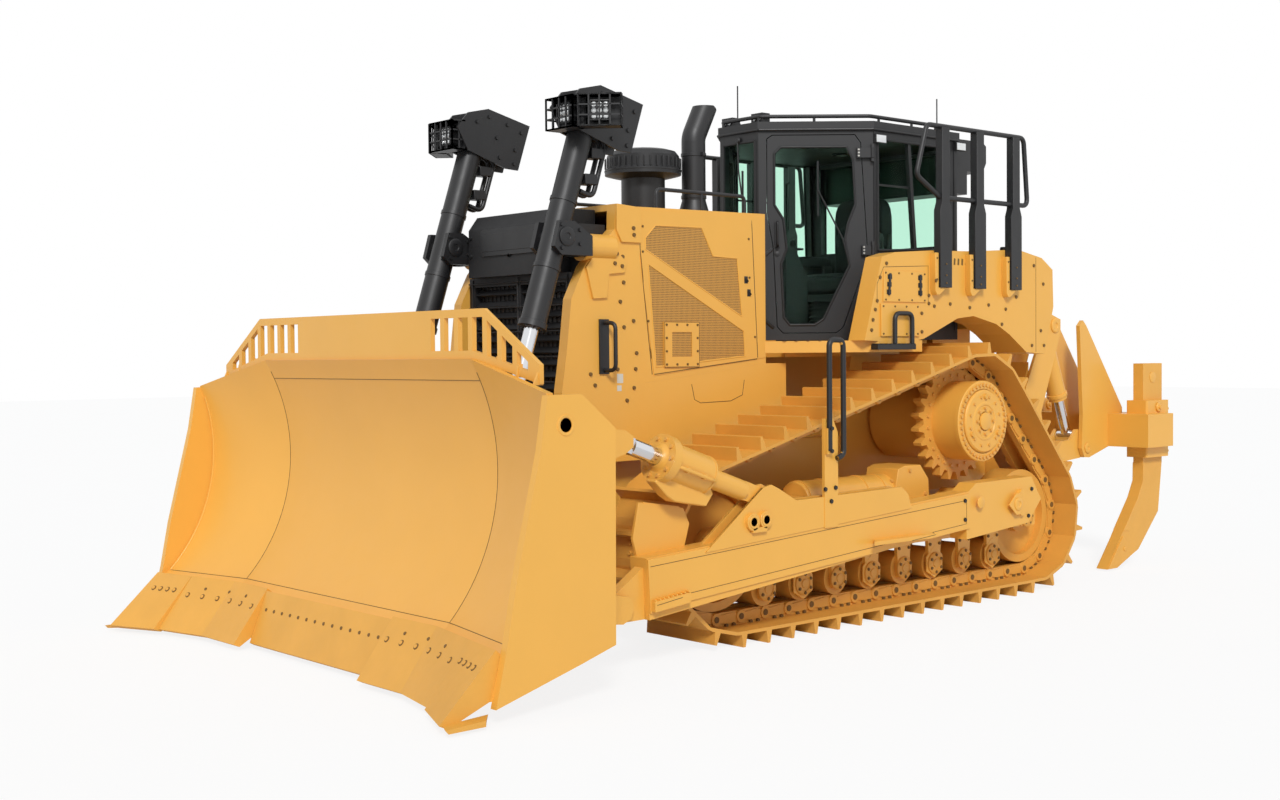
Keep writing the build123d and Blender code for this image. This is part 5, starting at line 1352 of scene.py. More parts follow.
# ---- hood and radiator guard
@dataclass
class HoodDress:
    """Screen frames, seams, latches and bolts of the hood and the radiator guard."""

    hood: tuple[str, ...] = ("hood", "hood_screens", "hood_panels", "hood_side_screens")
    guard: tuple[str, ...] = ("radiator_guard", "guard_plates")
    reach: float = 800
    rim_x: float = 603
    door_joints: Sequence[Sequence[Flat]] = (((-1488, 2690), (-1488, 2492), (-1386, 1660)),
        ((-476, 2715), (-424, 1760)), ((-1370, 1660), (-430, 1752)))
    hull_joint: Sequence[Flat] = ((-1040, 1590), (-1015, 1490), (-960, 1466), (-680, 1472), (-570, 1510),
        (-551, 1610))

    def build(self) -> None:
        """Build every piece of the hood's dress."""
        self._lines()
        self._bolts()
        self._latches()
        self._grille()
        self._front()

    def _lines(self) -> None:
        """Door seams and the rims of the screens."""
        lines, rims = Shape(), Shape()
        for side in SIDES:
            for outline in (UPPER_SCREEN, LOWER_SCREEN):
                rims.bars([(side * self.rim_x, y, z) for y, z in (*outline, outline[0])], 5)
        seams(lines, self.hood, self.door_joints, self.reach, 3)
        seams(lines, ("main_frame",), [self.hull_joint], self.reach, 2.4)
        corners = [(-1290, 1705), (-1290, 1995), (-980, 1995), (-980, 1705), (-1290, 1705)]
        seams(lines, self.hood, [[(y * 0.985 - 17, z) for y, z in corners]], self.reach, 1.8)
        lines.piece("hood_seams", Finishes.SEAM)
        rims.piece("screen_rims", Finishes.YELLOW)

    def _bolts(self) -> None:
        """Bolts of the hood's panels and of the guard."""
        small = Seated("hood_bolts", Head.ROUND, 8, 6, Finishes.SEAM)
        panel = [(y, z) for y in spaced(-1272, -998, 4) for z in (1722, 1978)]
        panel += [(y, z) for y in (-1272, -998) for z in (1807, 1893)]
        small.flanks(self.hood, panel, self.reach)
        small.flanks(self.hood, [(-1462, 2600), (-1462, 2440), (-1420, 2000), (-505, 2560), (-500, 2300),
            (-450, 1900)], self.reach)
        small.piece()
        large = Seated("guard_bolts", Head.ROUND, 13, 9, Finishes.SEAM)
        large.flanks(self.guard, [(-1567, 2581), (-1563, 2539), (-1706, 2416), (-1646, 2400), (-1723, 2356),
            (-1664, 2340), (-1669, 2119), (-1537, 1797), (-1546, 1697), (-1696, 1697), (-1880, 1600),
            (-1915, 1669), (-1560, 1578), (-1620, 1500), (-1640, 2240), (-1560, 2000), (-1640, 1960)],
            self.reach)
        large.piece()
        yoke = Seated("bearing_bolts", Head.HEX, 15, 12, Finishes.BLACK)
        for side in SIDES:
            for x, z in ((420, 2560), (420, 2440), (0, 2560), (0, 2430)):
                yoke.seat(("radiator_grille", "crosspiece_top"), (side * x, -2400, z), (0, 1, 0))
        yoke.piece()

    def _latches(self) -> None:
        """Latches, blank labels and the hook handles before the cab."""
        latches, labels, hooks = Shape(), Shape(), Shape()
        for side in SIDES:
            for y, z in ((-532, 2284), (-505, 2197)):
                latches.box((side * 600, y - 16, z - 24), (side * 607, y + 16, z + 24))
                latches.tube([(side * 606, y - 8, z + 12), (side * 620, y - 8, z + 6),
                    (side * 620, y + 8, z - 10), (side * 606, y + 8, z - 16)], 4, 8, 8)
            place = Skin.hit(self.guard, (side * self.reach, -1672, 1640), (-side, 0, 0))
            if place:
                x = place[0][0]
                labels.box((x, -1700, 1610), (x + side * 1.2, -1650, 1668))
                labels.box((x, -1700, 1560), (x + side * 1.2, -1664, 1596))
            for low, middle, high in (((-247, 2502), (-348, 2439), (-334, 2370)),
                    ((-331, 2102), (-323, 2013), (-238, 1964))):
                hooks.tube([(side * 575, y, z) for y, z in (low, middle, high)], 13, 40, 12)
        latches.piece("hood_latches", Finishes.BLACK, bevel=1.5)
        labels.piece("guard_labels", Finishes.LABEL)
        hooks.piece("cab_front_handles", Finishes.BLACK)

    def _grille(self) -> None:
        """Upright bars and a cross mesh in front of the louvres."""
        bars = Shape()
        for x in spaced(-500, 500, 23):
            place = Skin.trace(("radiator_grille",), [(x, -2400, z) for z in (1300, 1700, 2100)], (0, 1, 0))
            if place:
                y = min(spot[1] for spot in place) - 4
                bars.tube([(x, y, 1265), (x, y, 2290)], 4, sides=6)
        for z in spaced(1300, 2260, 7):
            bars.tube([(-520, -2010, z), (520, -2010, z)], 5, sides=6)
        bars.piece("grille_bars", Finishes.DULL_BLACK)

    def _front(self) -> None:
        """Bare framed plate on the crosspiece between the lift cylinders."""
        plate = Shape()
        place = Skin.hit(("radiator_grille", "crosspiece_top"), (0, -2600, 2560), (0, 1, 0))
        if place:
            y = place[0][1]
            plate.prism([(-300, 2452), (-280, 2432), (280, 2432), (300, 2452), (300, 2590), (280, 2606),
                (-280, 2606), (-300, 2590)], y, y - 12, Across.Y)
            plate.prism([(-270, 2462), (270, 2462), (270, 2576), (-270, 2576)], y - 12, y - 15, Across.Y)
        plate.piece("crosspiece_plate", Finishes.BLACK, bevel=2)


# ---- engine air and exhaust
@dataclass
class AirDress:
    """Bands, ribs and clamps of the precleaner and the exhaust stack."""

    cleaner_y: float = -915
    stack: Flat = (150, -579)

    def build(self) -> None:
        """Build the bands, ribs and clamps."""
        bands = Shape()
        low, high = (tuple(c / MM for c in corner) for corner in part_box("air_precleaner"))
        rim = (high[0] - low[0]) / 2
        top = high[2]
        bands.turned((0, self.cleaner_y, top - 150), (0, 0, 1), [(rim - 6, 0), (rim + 3, 2), (rim + 3, 14),
            (rim - 6, 16)], 64)
        bands.turned((0, self.cleaner_y, top - 4), (0, 0, 1), [(120, 0), (120, 5), (60, 12), (22, 14),
            (20, 26), (0, 26)], 40)
        for i in range(36):
            a = 2 * pi * i / 36
            x, y = (rim - 3) * cos(a), self.cleaner_y + (rim - 3) * sin(a)
            bands.tube([(x, y, top - 128), (x, y, top - 60)], 5, sides=6)
        for z in (2800, 2890):
            bands.turned((0, self.cleaner_y, z), (0, 0, 1), [(118, 0), (124, 2), (124, 22), (118, 24)], 48)
        x, y = self.stack
        for z in (2860, 3150):
            bands.turned((x, y, z), (0, 0, 1), [(82, 0), (88, 2), (88, 24), (82, 26)], 40)
            bands.box((x + 84, y - 12, z), (x + 108, y + 12, z + 26))
        bands.piece("air_and_stack_bands", Finishes.BLACK, bevel=0.8, angle=40)


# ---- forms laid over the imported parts
@dataclass
class ArmForms:
    """Outer plates, treads, hoisting eyes and cylinder brackets of both push arms."""

    inner_x: float = 1375
    outer_x: float = 1515
    tilt_x: float = 1478
    plate: Sequence[Flat] = ((-2262, 640), (700, 815), (700, 575), (-1939, 375), (-2245, 335))
    tread: Sequence[Flat] = ((-2240, 345), (-2240, 405), (-1966, 430), (-1966, 372))
    bracket: Sequence[Flat] = ((-1820, 640), (-1340, 985), (-1270, 1000), (-1200, 970), (-1050, 890),
        (-565, 898), (-45, 909), (26, 859), (60, 760))
    deflector: Sequence[Flat] = ((-2225, 620), (-2262, 750), (-2215, 950), (-1870, 895), (-1822, 800),
        (-1872, 640))
    eyes: Sequence[Flat] = ((-1446, 790), (-1338, 796))
    valve: Sequence[Flat] = ((-2200, 1075), (-2105, 985), (-2048, 950), (-1800, 905), (-1743, 975),
        (-1790, 1060), (-2073, 1130))

    def build(self) -> None:
        """Build the plates on the arms and the valve boxes under the tilt barrels."""
        plates, valves = Shape(), Shape()
        for side in SIDES:
            plates.prism(self.plate, side * (self.outer_x - 2), side * (self.outer_x + 12))
            plates.prism(self.tread, side * self.outer_x, side * (self.outer_x + 45))
            plates.prism(self.deflector, side * (self.inner_x + 3), side * (self.inner_x + 23))
            for face in SIDES:
                start = side * self.tilt_x + face * 33
                plates.prism(self.bracket, start, start + face * 22)
            for y, z in self.eyes:
                plates.turned((side * self.outer_x, y, z), (side, 0, 0),
                    [(27, 0), (27, 43), (52, 43), (52, 0)], 32)
            plates.box((side * self.outer_x, -1452, 725), (side * (self.outer_x + 43), -1332, 756))
            valves.prism(self.valve, side * (self.tilt_x - 42), side * (self.tilt_x + 42))
        plates.piece("arm_plates", Finishes.YELLOW, Body.ARMS, bevel=2)
        valves.piece("tilt_valves", Finishes.YELLOW, Body.TILT_BARRELS, bevel=8)


@dataclass
class TrackFrameForms:
    """Recoil tubes, their housings, roller brackets and hub covers."""

    half_gauge: float = 1041
    tube: tuple[float, float, float, float] = (-540, 700, 815, 132)
    housing: Sequence[Flat] = ((300, 720), (360, 985), (430, 1003), (600, 1003), (690, 900), (700, 720))
    bracket_ys: Sequence[float] = (-609, 73, 755, 1437)
    roller_z: float = 299.3
    hub: tuple[float, float, float] = (1310, 1145, 1290)

    def build(self) -> None:
        """Build the forms of both track frames and final drives."""
        forms, covers = Shape(), Shape()
        front, rear, z, radius = self.tube
        for side in SIDES:
            forms.turned((side * self.half_gauge, front, z), (0, 1, 0),
                [(radius - 8, 0), (radius, 8), (radius, rear - front)], 48)
            forms.prism(self.housing, side * (self.half_gauge - 140), side * (self.half_gauge + 140))
            for y in self.bracket_ys:
                corners = [(y + 104 * sin(pi * k / 3),
                    self.roller_z + 104 * cos(pi * k / 3)) for k in range(6)]
                corners[0] = (y, 430)
                for face in SIDES:
                    start = side * self.half_gauge + face * 127
                    forms.prism(corners, start, start + face * 14)
            face_x, y, z0 = self.hub
            covers.turned((side * (face_x - 2), y, z0), (side, 0, 0),
                [(225, 0), (225, 12), (221, 16), (62, 16), (62, 30), (58, 32), (0, 32)], 72)
        forms.piece("recoil_housings", Finishes.YELLOW, bevel=4)
        covers.piece("hub_covers", Finishes.YELLOW)


@dataclass
class HoodForms:
    """Side panels with their screens, the guard's raised plates and the crosspiece."""

    flank: float = 600
    guard_flank: float = 620
    outline: Sequence[Flat] = ((-1492, 2702), (-352, 2716), (-352, 1760), (-1372, 1652), (-1492, 2480))
    panel: tuple[float, float, float, float] = (-1290, 1705, -980, 1995)
    window: tuple[float, float, float, float] = (-1222, 1770, -1047, 1930)
    corner: Sequence[Flat] = ((-1700, 2728), (-1500, 2714), (-1500, 2491), (-1662, 2491), (-1704, 2569))
    stiffener: Sequence[Flat] = ((-1858, 2442), (-1729, 2455), (-1623, 2365), (-1640, 2300), (-1767, 2288),
        (-1785, 2140), (-1897, 2133), (-1950, 2325))

    @staticmethod
    def corners(low_y: float, low_z: float, high_y: float, high_z: float) -> list[Flat]:
        """Corners of an upright rectangle."""
        return [(low_y, low_z), (high_y, low_z), (high_y, high_z), (low_y, high_z)]

    def build(self) -> None:
        """Build the panels, screens, raised plates and crosspiece."""
        sheets, screens, raised, dark = Shape(), Shape(), Shape(), Shape()
        for side in SIDES:
            x = side * self.flank
            sheets.pierced(self.outline, (UPPER_SCREEN, LOWER_SCREEN), x + side * 2.2, 4.4)
            sheets.pierced(self.corners(*self.panel), (self.corners(*self.window),), x + side * 8, 14)
            for outline in (UPPER_SCREEN, LOWER_SCREEN):
                screens.prism(outline, x + side * 0.4, x + side * 2)
            screens.prism(self.corners(*self.window), x + side * 2, x + side * 9)
            for outline in (self.corner, self.stiffener):
                raised.prism(outline, side * (self.guard_flank - 1), side * (self.guard_flank + 16))
        dark.prism([(-2060, 2498), (-2060, 2610), (-1990, 2700), (-1722, 2700), (-1722, 2598), (-1980, 2598)],
            -450, 450)
        sheets.piece("hood_panels", Finishes.YELLOW)
        screens.piece("hood_side_screens", Finishes.SCREEN)
        raised.piece("guard_plates", Finishes.YELLOW, bevel=2)
        dark.piece("crosspiece_top", Finishes.DULL_BLACK, bevel=4)


@dataclass
class AccessForms:
    """Grab handles, steps, hood and roof rails, deck posts, hatches and lift cylinder pipes."""

    guard_x: float = 620
    fender_x: float = 1105
    roof_rail: Sequence[Flat] = ((700, 1560), (700, 650), (186, 42))
    roof_legs: Sequence[Flat] = ((700, 1540), (700, 1120), (700, 745), (440, 342), (176, 42))
    hatch: Sequence[Flat] = ((290, 2135), (760, 2135), (760, 2350), (300, 2350))
    toolbox: Sequence[Flat] = ((262, 1897), (674, 1897), (674, 2122), (262, 2122))
    socket: Sequence[Flat] = ((-108, 2488), (-72, 2488), (-72, 2243), (20, 2243), (-60, 2190), (-90, 2190),
        (-108, 2222))
    post: Sequence[Flat] = ((-43, 3375), (-43, 2850), (-66, 2790), (-66, 2243))

    def build(self) -> None:
        """Build the handles, rails, posts and hatches."""
        handles, rails, posts, boxes = Shape(), Shape(), Shape(), Shape()
        for side in SIDES:
            root, grip = side * (self.guard_x + 6), side * (self.guard_x + 95)
            handles.box((side * self.guard_x, -1846, 1668), (side * (self.guard_x + 12), -1770, 2008))
            handles.tube([(root, -1808, 1985), (grip, -1790, 1985), (grip, -1790, 1691), (root, -1808, 1691)],
                13, 42, 14)
            handles.box((side * self.fender_x, 165, 1806), (side * (self.fender_x + 62), 575, 1842))
            loop = side * (self.fender_x + 40)
            handles.tube([(loop, 374, 1824), (loop, 374, 2056), (loop, 560, 2056), (loop, 560, 1824)], 16, 48,
                14)
            rail = side * 540
            handles.tube([(rail, -1285, 2724), (rail, -1285, 2852), (rail, -478, 2852), (rail, -478, 2734)],
                13, 40, 14)
            handles.cylinder((rail, -880, 2728), (rail, -880, 2852), 11)
            for x, y in self.roof_legs:
                rails.cylinder((side * x, y, 3440), (side * x, y, 3484), 10)
            for y in POST_YS:
                posts.prism([(y + a, z) for a, z in self.post] + [(y - a, z) for a, z in reversed(self.post)],
                    side * (self.fender_x + 0.3), side * (self.fender_x + 60.3))
                boxes.prism([(y + a, z) for a, z in self.socket], side * (self.fender_x - 1),
                    side * (self.fender_x + 48))
            x = side * (self.fender_x + 30)
            posts.tube([(x, 892, 2880), (x, 622, 3022), (x, 740, 3384), (x, 1902, 3384), (x, 1950, 2880),
                (x, 1772, 2880)], 18, 55, 16)
            posts.cylinder((x, 892, 2880), (x, 1790, 2880), 18)
            boxes.prism(self.hatch, side * (self.fender_x - 1), side * (self.fender_x + 8))
            boxes.prism(self.toolbox, side * (self.fender_x - 1), side * (self.fender_x + 14))
        left = [(x, y, 3484) for x, y in self.roof_rail]
        rails.tube(left + [(-x, y, z) for x, y, z in reversed(left)], 14, 60, 14)
        handles.piece("access_handles", Finishes.BLACK, bevel=1.5)
        rails.piece("roof_rails", Finishes.BLACK)
        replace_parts(posts.piece("deck_posts", Finishes.BLACK, Body.MACHINE, bevel=3), "deck_rails")
        boxes.piece("fender_hatches", Finishes.YELLOW, bevel=3)
        self._pipes()

    def _pipes(self) -> None:
        """Steel pipes clamped behind the lift barrels."""
        pipes = Shape()
        for side in SIDES:
            for off in (-30, 30):
                ram = Cylinder(side * 583 + off, (-2157, 2500), (-2680, 900))
                pipes.tube([ram.point(*spot) for spot in ((-700, 78), (-700, 185), (-330, 185), (-330, 78))],
                    16, 60, 12)
        pipes.piece("lift_pipes", Finishes.BLACK, Body.LIFT_BARRELS)


@dataclass
class LampCages:
    """Heads on the lift barrels: cheeks, tray and two caged lamps each."""

    lift_x: float = 583
    gap: float = 80.3
    plate: float = 14
    size: Point = (265, 120, 195)
    bar: float = 9
    cheek: Sequence[Flat] = ((-2110, 3300), (-2020, 3400), (-1858, 3437), (-1512, 3352), (-1615, 3044),
        (-1720, 3050), (-2027, 3150))

    def cage(self) -> Shape:
        """Cage with its open face at y = 0, looking to -Y and standing on z = 0.

        Returns:
            The cage's shape.
        """
        wide, deep, high = self.size
        half, bar = wide / 2, self.bar
        made = Shape()
        made.box((-half, 0, 0), (half, deep, bar))
        made.box((-half, 0, high - bar), (half, deep, high))
        made.box((-half, deep - bar, 0), (half, deep, high))
        for x in spaced(-half, half - bar, 5):
            made.box((x, 0, 0), (x + bar, bar, high))
        for z in spaced(0, high - bar, 4):
            made.box((-half, 0, z), (half, bar, z + bar))
            for x in (-half, half - bar):
                made.box((x, 0, z), (x + bar, deep, z + bar))
        for y in spaced(0, deep - bar, 3):
            for x in (-half, half - bar):
                made.box((x, y, 0), (x + bar, y + bar, high))
        made.prism([(-59, 50), (-50, 38.5), (50, 38.5), (59, 50), (59, 145), (50, 156.5), (-50, 156.5),
            (-59, 145)], 41, deep, Across.Y)
        return made

    def build(self) -> None:
        """Build both heads in place of the plain ones."""
        heads, cage = Shape(), self.cage()
        for side in SIDES:
            for face in SIDES:
                start = side * self.lift_x + face * self.gap
                heads.prism(self.cheek, start, start + face * self.plate)
            low, high = side * self.lift_x - self.gap - 1, side * self.lift_x + self.gap + 1
            heads.prism([(-1700, 3398), (-1512, 3352), (-1600, 3090), (-1690, 3090)], low, high)
            inner, outer = side * (self.lift_x - 94.3), side * (self.lift_x + 80.3)
            heads.prism([(inner, -2140), (side * 780, -2140), (side * 976, -1950), (side * 930, -1900),
                (outer, -1900), (outer, -2045), (inner, -2045)], 3336, 3347, Across.Z)
            for place in LampHeads().cages:
                heads.put(cage, LampHeads().place(side, place))
        cage.mesh.free()
        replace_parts(heads.piece("lamp_cages", Finishes.BLACK, Body.LIFT_BARRELS, bevel=0.0), "lamp_heads")


# ---- cab
@dataclass
class CabDress:
    """Gaskets, wipers, handles and the seat of the cab."""

    front_half: float = 195
    front_y: float = 20
    half_width: float = 735
    kink_y: float = 640
    rear_y: float = 1620
    eave_z: float = 3381
    door_window: Sequence[Flat] = ((112, 3215), (160, 3262), (630, 3262), (676, 3170), (692, 2850),
        (640, 2719), (616, 2600), (648, 2411), (460, 2032), (398, 1990), (219, 1990), (175, 2046),
        (158, 2427), (199, 2533), (176, 2747), (112, 2850))
    side_window: Sequence[Flat] = ((690, 2520), (1540, 2560), (1520, 3320), (690, 3320))

    def door_point(self, side: int, along: float, height: float, out: float = 0) -> Point:
        """Place on one door.

        Args:
            side: 1 for the left door, -1 for the right.
            along: distance from the cab's front corner.
            height: height above the ground.
            out: distance off the door's face.

        Returns:
            The place.
        """
        run_x, run_y = self.half_width - self.front_half, self.kink_y - self.front_y
        span = hypot(run_x, run_y)
        dx, dy = run_x / span, run_y / span
        return (side * (self.front_half + dx * along + dy * out), self.front_y + dy * along - dx * out,
            height)

    def build(self) -> None:
        """Build every piece of the cab's dress."""
        self._doors()
        self._windows()
        self._wipers()
        self._roof()
        self._seat()
        self._inside()

    def _doors(self) -> None:
        """Window gasket, handle, wiper and hinge bolts of each door."""
        for side, body, name in ((1, Body.DOOR_LEFT, "left"), (-1, Body.DOOR_RIGHT, "right")):
            at = partial(self.door_point, side)
            gasket, handle = Shape(), Shape()
            gasket.bars([at(s, z, 1) for s, z in (*self.door_window, self.door_window[0])], 9)
            handle.tube([at(130, 2725, 18), at(130, 2725, 52), at(130, 2555, 52), at(130, 2555, 18)], 9, 18)
            out = tuple(Vector(at(0, 0, 1)) - Vector(at(0, 0)))
            handle.turned(at(130, 2500), out, [(18, 0), (18, 5), (10, 7), (0, 7)], 20)
            handle.tube([at(640, 2440, 10), at(600, 2600, 22), at(420, 2960, 16)], 6, 60)
            handle.tube([at(424, 2770, 4), at(424, 3160, 4)], 8, sides=8)
            gasket.piece(f"door_gasket_{name}", Finishes.RUBBER, body)
            handle.piece(f"door_handle_{name}", Finishes.BLACK, body)
            bolts = Fasteners(f"door_bolts_{name}", Head.ROUND, 8, 6, Finishes.ZINC)
            for z, root in ((3215, 700), (2520, 735)):
                for dz in (-22, 0, 22):
                    bolts.add(at(root + 14, z + dz, 34), out)
            bolts.piece(body)

    def _windows(self) -> None:
        """Gaskets and dividers of the fixed windows."""
        gaskets, bars = Shape(), Shape()
        for side in SIDES:
            x = side * (self.half_width - 1)
            gaskets.bars([(x, y, z) for y, z in (*self.side_window, self.side_window[0])], 10)
            bars.prism([(1040, 3318), (1072, 3318), (1142, 2540), (1110, 2540)], x - side * 40, x - side * 4)
            bars.box((x - side * 38, 715, 2990), (x - side * 20, 1080, 3004))
            bars.tube([(x + side * 10, 1350, 2640), (x + side * 45, 1350, 2640), (x + side * 45, 1350, 3180),
                (x + side * 10, 1350, 3180)], 11, 30)
        for y, half, low, high in ((self.front_y, 160, 2410, 3310), (self.rear_y, 590, 2590, 3290)):
            gaskets.bars([(-half, y, low), (half, y, low), (half, y, high), (-half, y, high),
                (-half, y, low)], 9)
        gaskets.piece("window_gaskets", Finishes.RUBBER)
        bars.piece("window_bars", Finishes.BLACK, bevel=1.5)

    def _wipers(self) -> None:
        """Wipers of the front and rear windows."""
        arms = Shape()
        for y, out in ((self.front_y - 2, -1), (self.rear_y + 2, 1)):
            arms.turned((0, y, 3330 if out < 0 else 2560), (0, out, 0),
                [(24, 0), (24, 12), (14, 20), (0, 20)], 20)
            if out < 0:
                arms.tube([(0, y - 12, 3330), (10, y - 16, 3120), (30, y - 4, 2930)], 6, 40)
                arms.tube([(30, y + 6, 2720), (30, y + 6, 3110)], 8, sides=8)
            else:
                arms.tube([(0, y + 12, 2560), (-60, y + 16, 2720), (-160, y + 4, 2860)], 6, 40)
                arms.tube([(-260, y - 4, 2960), (-60, y - 4, 2760)], 8, sides=8)
        arms.piece("wipers", Finishes.BLACK)

    def _roof(self) -> None:
        """Rim, gutters, lamps' glasses and corner posts' caps of the roof."""
        rims, lenses, rings = Shape(), Shape(), Shape()
        z = self.eave_z
        plan = [(self.front_half, self.front_y), (self.half_width, self.kink_y),
            (self.half_width, self.rear_y)]
        for side in SIDES:
            rims.tube([(side * (x + 12), y - 10, z + 4) for x,
                y in plan[:2]] + [(side * (self.half_width + 12), self.rear_y, z + 4)], 9, sides=8)
            for y, out_y, low_z, wide in ((50, -1, 3478, 150), (2167, 1, 3320, 480)):
                x = side * wide
                for dx in (-24, 24):
                    lenses.turned((x + dx, y, low_z), (0, out_y, 0), [(20, 0), (18, 3), (10, 5), (0, 6)], 20)
                    rings.turned((x + dx, y, low_z), (0, out_y, 0), [(24, 0), (24, 5), (20, 5), (20, 1)], 20)
            for y, z0 in ((700, 3320), (1640, 3340)):
                lenses.box((side * (self.half_width + 26), y - 52, z0 - 26),
                    (side * (self.half_width + 29), y + 52, z0 + 26))
                rings.box((side * (self.half_width + 1), y - 60, z0 - 32),
                    (side * (self.half_width + 26), y + 60, z0 + 32))
            rims.box((side * (self.half_width - 5), self.kink_y + 4, 1950),
                (side * (self.half_width + 5), self.kink_y + 30, 3370))
            rims.box((side * (self.half_width - 5), self.rear_y - 40, 1950),
                (side * (self.half_width + 5), self.rear_y - 6, 3370))
        rims.tube([(-self.front_half - 12, self.front_y - 12, z + 4),
            (self.front_half + 12, self.front_y - 12, z + 4)], 9, sides=8)
        rims.piece("roof_rims", Finishes.BLACK, bevel=1)
        rings.piece("cab_lamp_rims", Finishes.BLACK, bevel=1)
        lenses.piece("cab_lamp_lenses", Finishes.LENS, bevel=0.8)
        grille = Shape()
        for z0 in spaced(3030, 3150, 7):
            grille.box((-560, 1858, z0 - 5), (560, 1866, z0 + 5))
        for z0 in spaced(3240, 3380, 8):
            grille.box((-330, 2104, z0 - 5), (330, 2113, z0 + 5))
        for x in spaced(-540, 540, 7):
            grille.box((x - 6, 1700, 3419), (x + 6, 2050, 3426))
        grille.piece("air_conditioner_ribs", Finishes.BLACK, bevel=1)

    def _seat(self) -> None:
        """Padded operator's seat on its base."""
        cushions = Shape()
        cushions.pad((-262, 845, 2228), (262, 1375, 2372), 4.5)
        cushions.pad((-232, 900, 2300), (232, 1330, 2398), 5)
        cushions.pad((-250, 1310, 2330), (250, 1478, 2990), 5)
        cushions.pad((-205, 1296, 2400), (205, 1420, 2800), 4.5)
        cushions.pad((-150, 1318, 2800), (150, 1440, 2986), 4)
        for side in SIDES:
            cushions.pad((side * 270, 935, 2455), (side * 374, 1340, 2545), 4)
        seat = cushions.piece("seat_cushions", Finishes.SEAT, angle=70)
        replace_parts(seat, "operator_seat")
        base = Shape()
        base.box((-208, 915, 1932), (208, 1325, 1990))
        base.box((-160, 960, 1990), (160, 1280, 2180))
        for z in spaced(2000, 2160, 6):
            base.box((-172, 948, z - 8), (172, 1292, z + 8))
        base.box((-225, 880, 2180), (225, 1350, 2232))
        for side in SIDES:
            base.box((side * 235, 1200, 2300), (side * 262, 1290, 2470))
            base.tube([(side * 250, 1340, 2300), (side * 250, 1410, 2700)], 16, sides=10)
        base.piece("seat_base", Finishes.PLASTIC, bevel=4)

    def _inside(self) -> None:
        """Levers, screen, pedals and knobs by the operator."""
        levers, glass = Shape(), Shape()
        for side in SIDES:
            levers.turned((side * 440, 1060, 2590), (0, 0, 1), [(20, 0), (27, 20), (30, 60), (22, 88),
                (0, 96)], 20)
            levers.box((side * 400, 960, 2446), (side * 480, 1380, 2462))
            for y in spaced(1150, 1340, 5):
                levers.turned((side * 440, y, 2461), (0, 0, 1), [(10, 0), (10, 9), (6, 13), (0, 13)], 12)
            levers.prism([(600, 1934), (690, 1934), (640, 2010), (610, 2010)], side * 90, side * 150)
        levers.tube([(-300, 470, 2300), (-300, 470, 2560), (-270, 520, 2640)], 12, 40)
        levers.box((-400, 500, 2590), (-170, 530, 2760))
        glass.box((-388, 531, 2602), (-182, 533, 2748))
        levers.box((-150, 340, 2550), (150, 540, 2565))
        levers.piece("cab_controls", Finishes.PLASTIC, bevel=3)
        glass.turned((0, 1120, 3318), (0, 0, -1), [(60, 0), (60, 8), (50, 14), (0, 16)], 24)
        glass.piece("cab_screen", Finishes.SCREEN_GLASS, bevel=0.5)


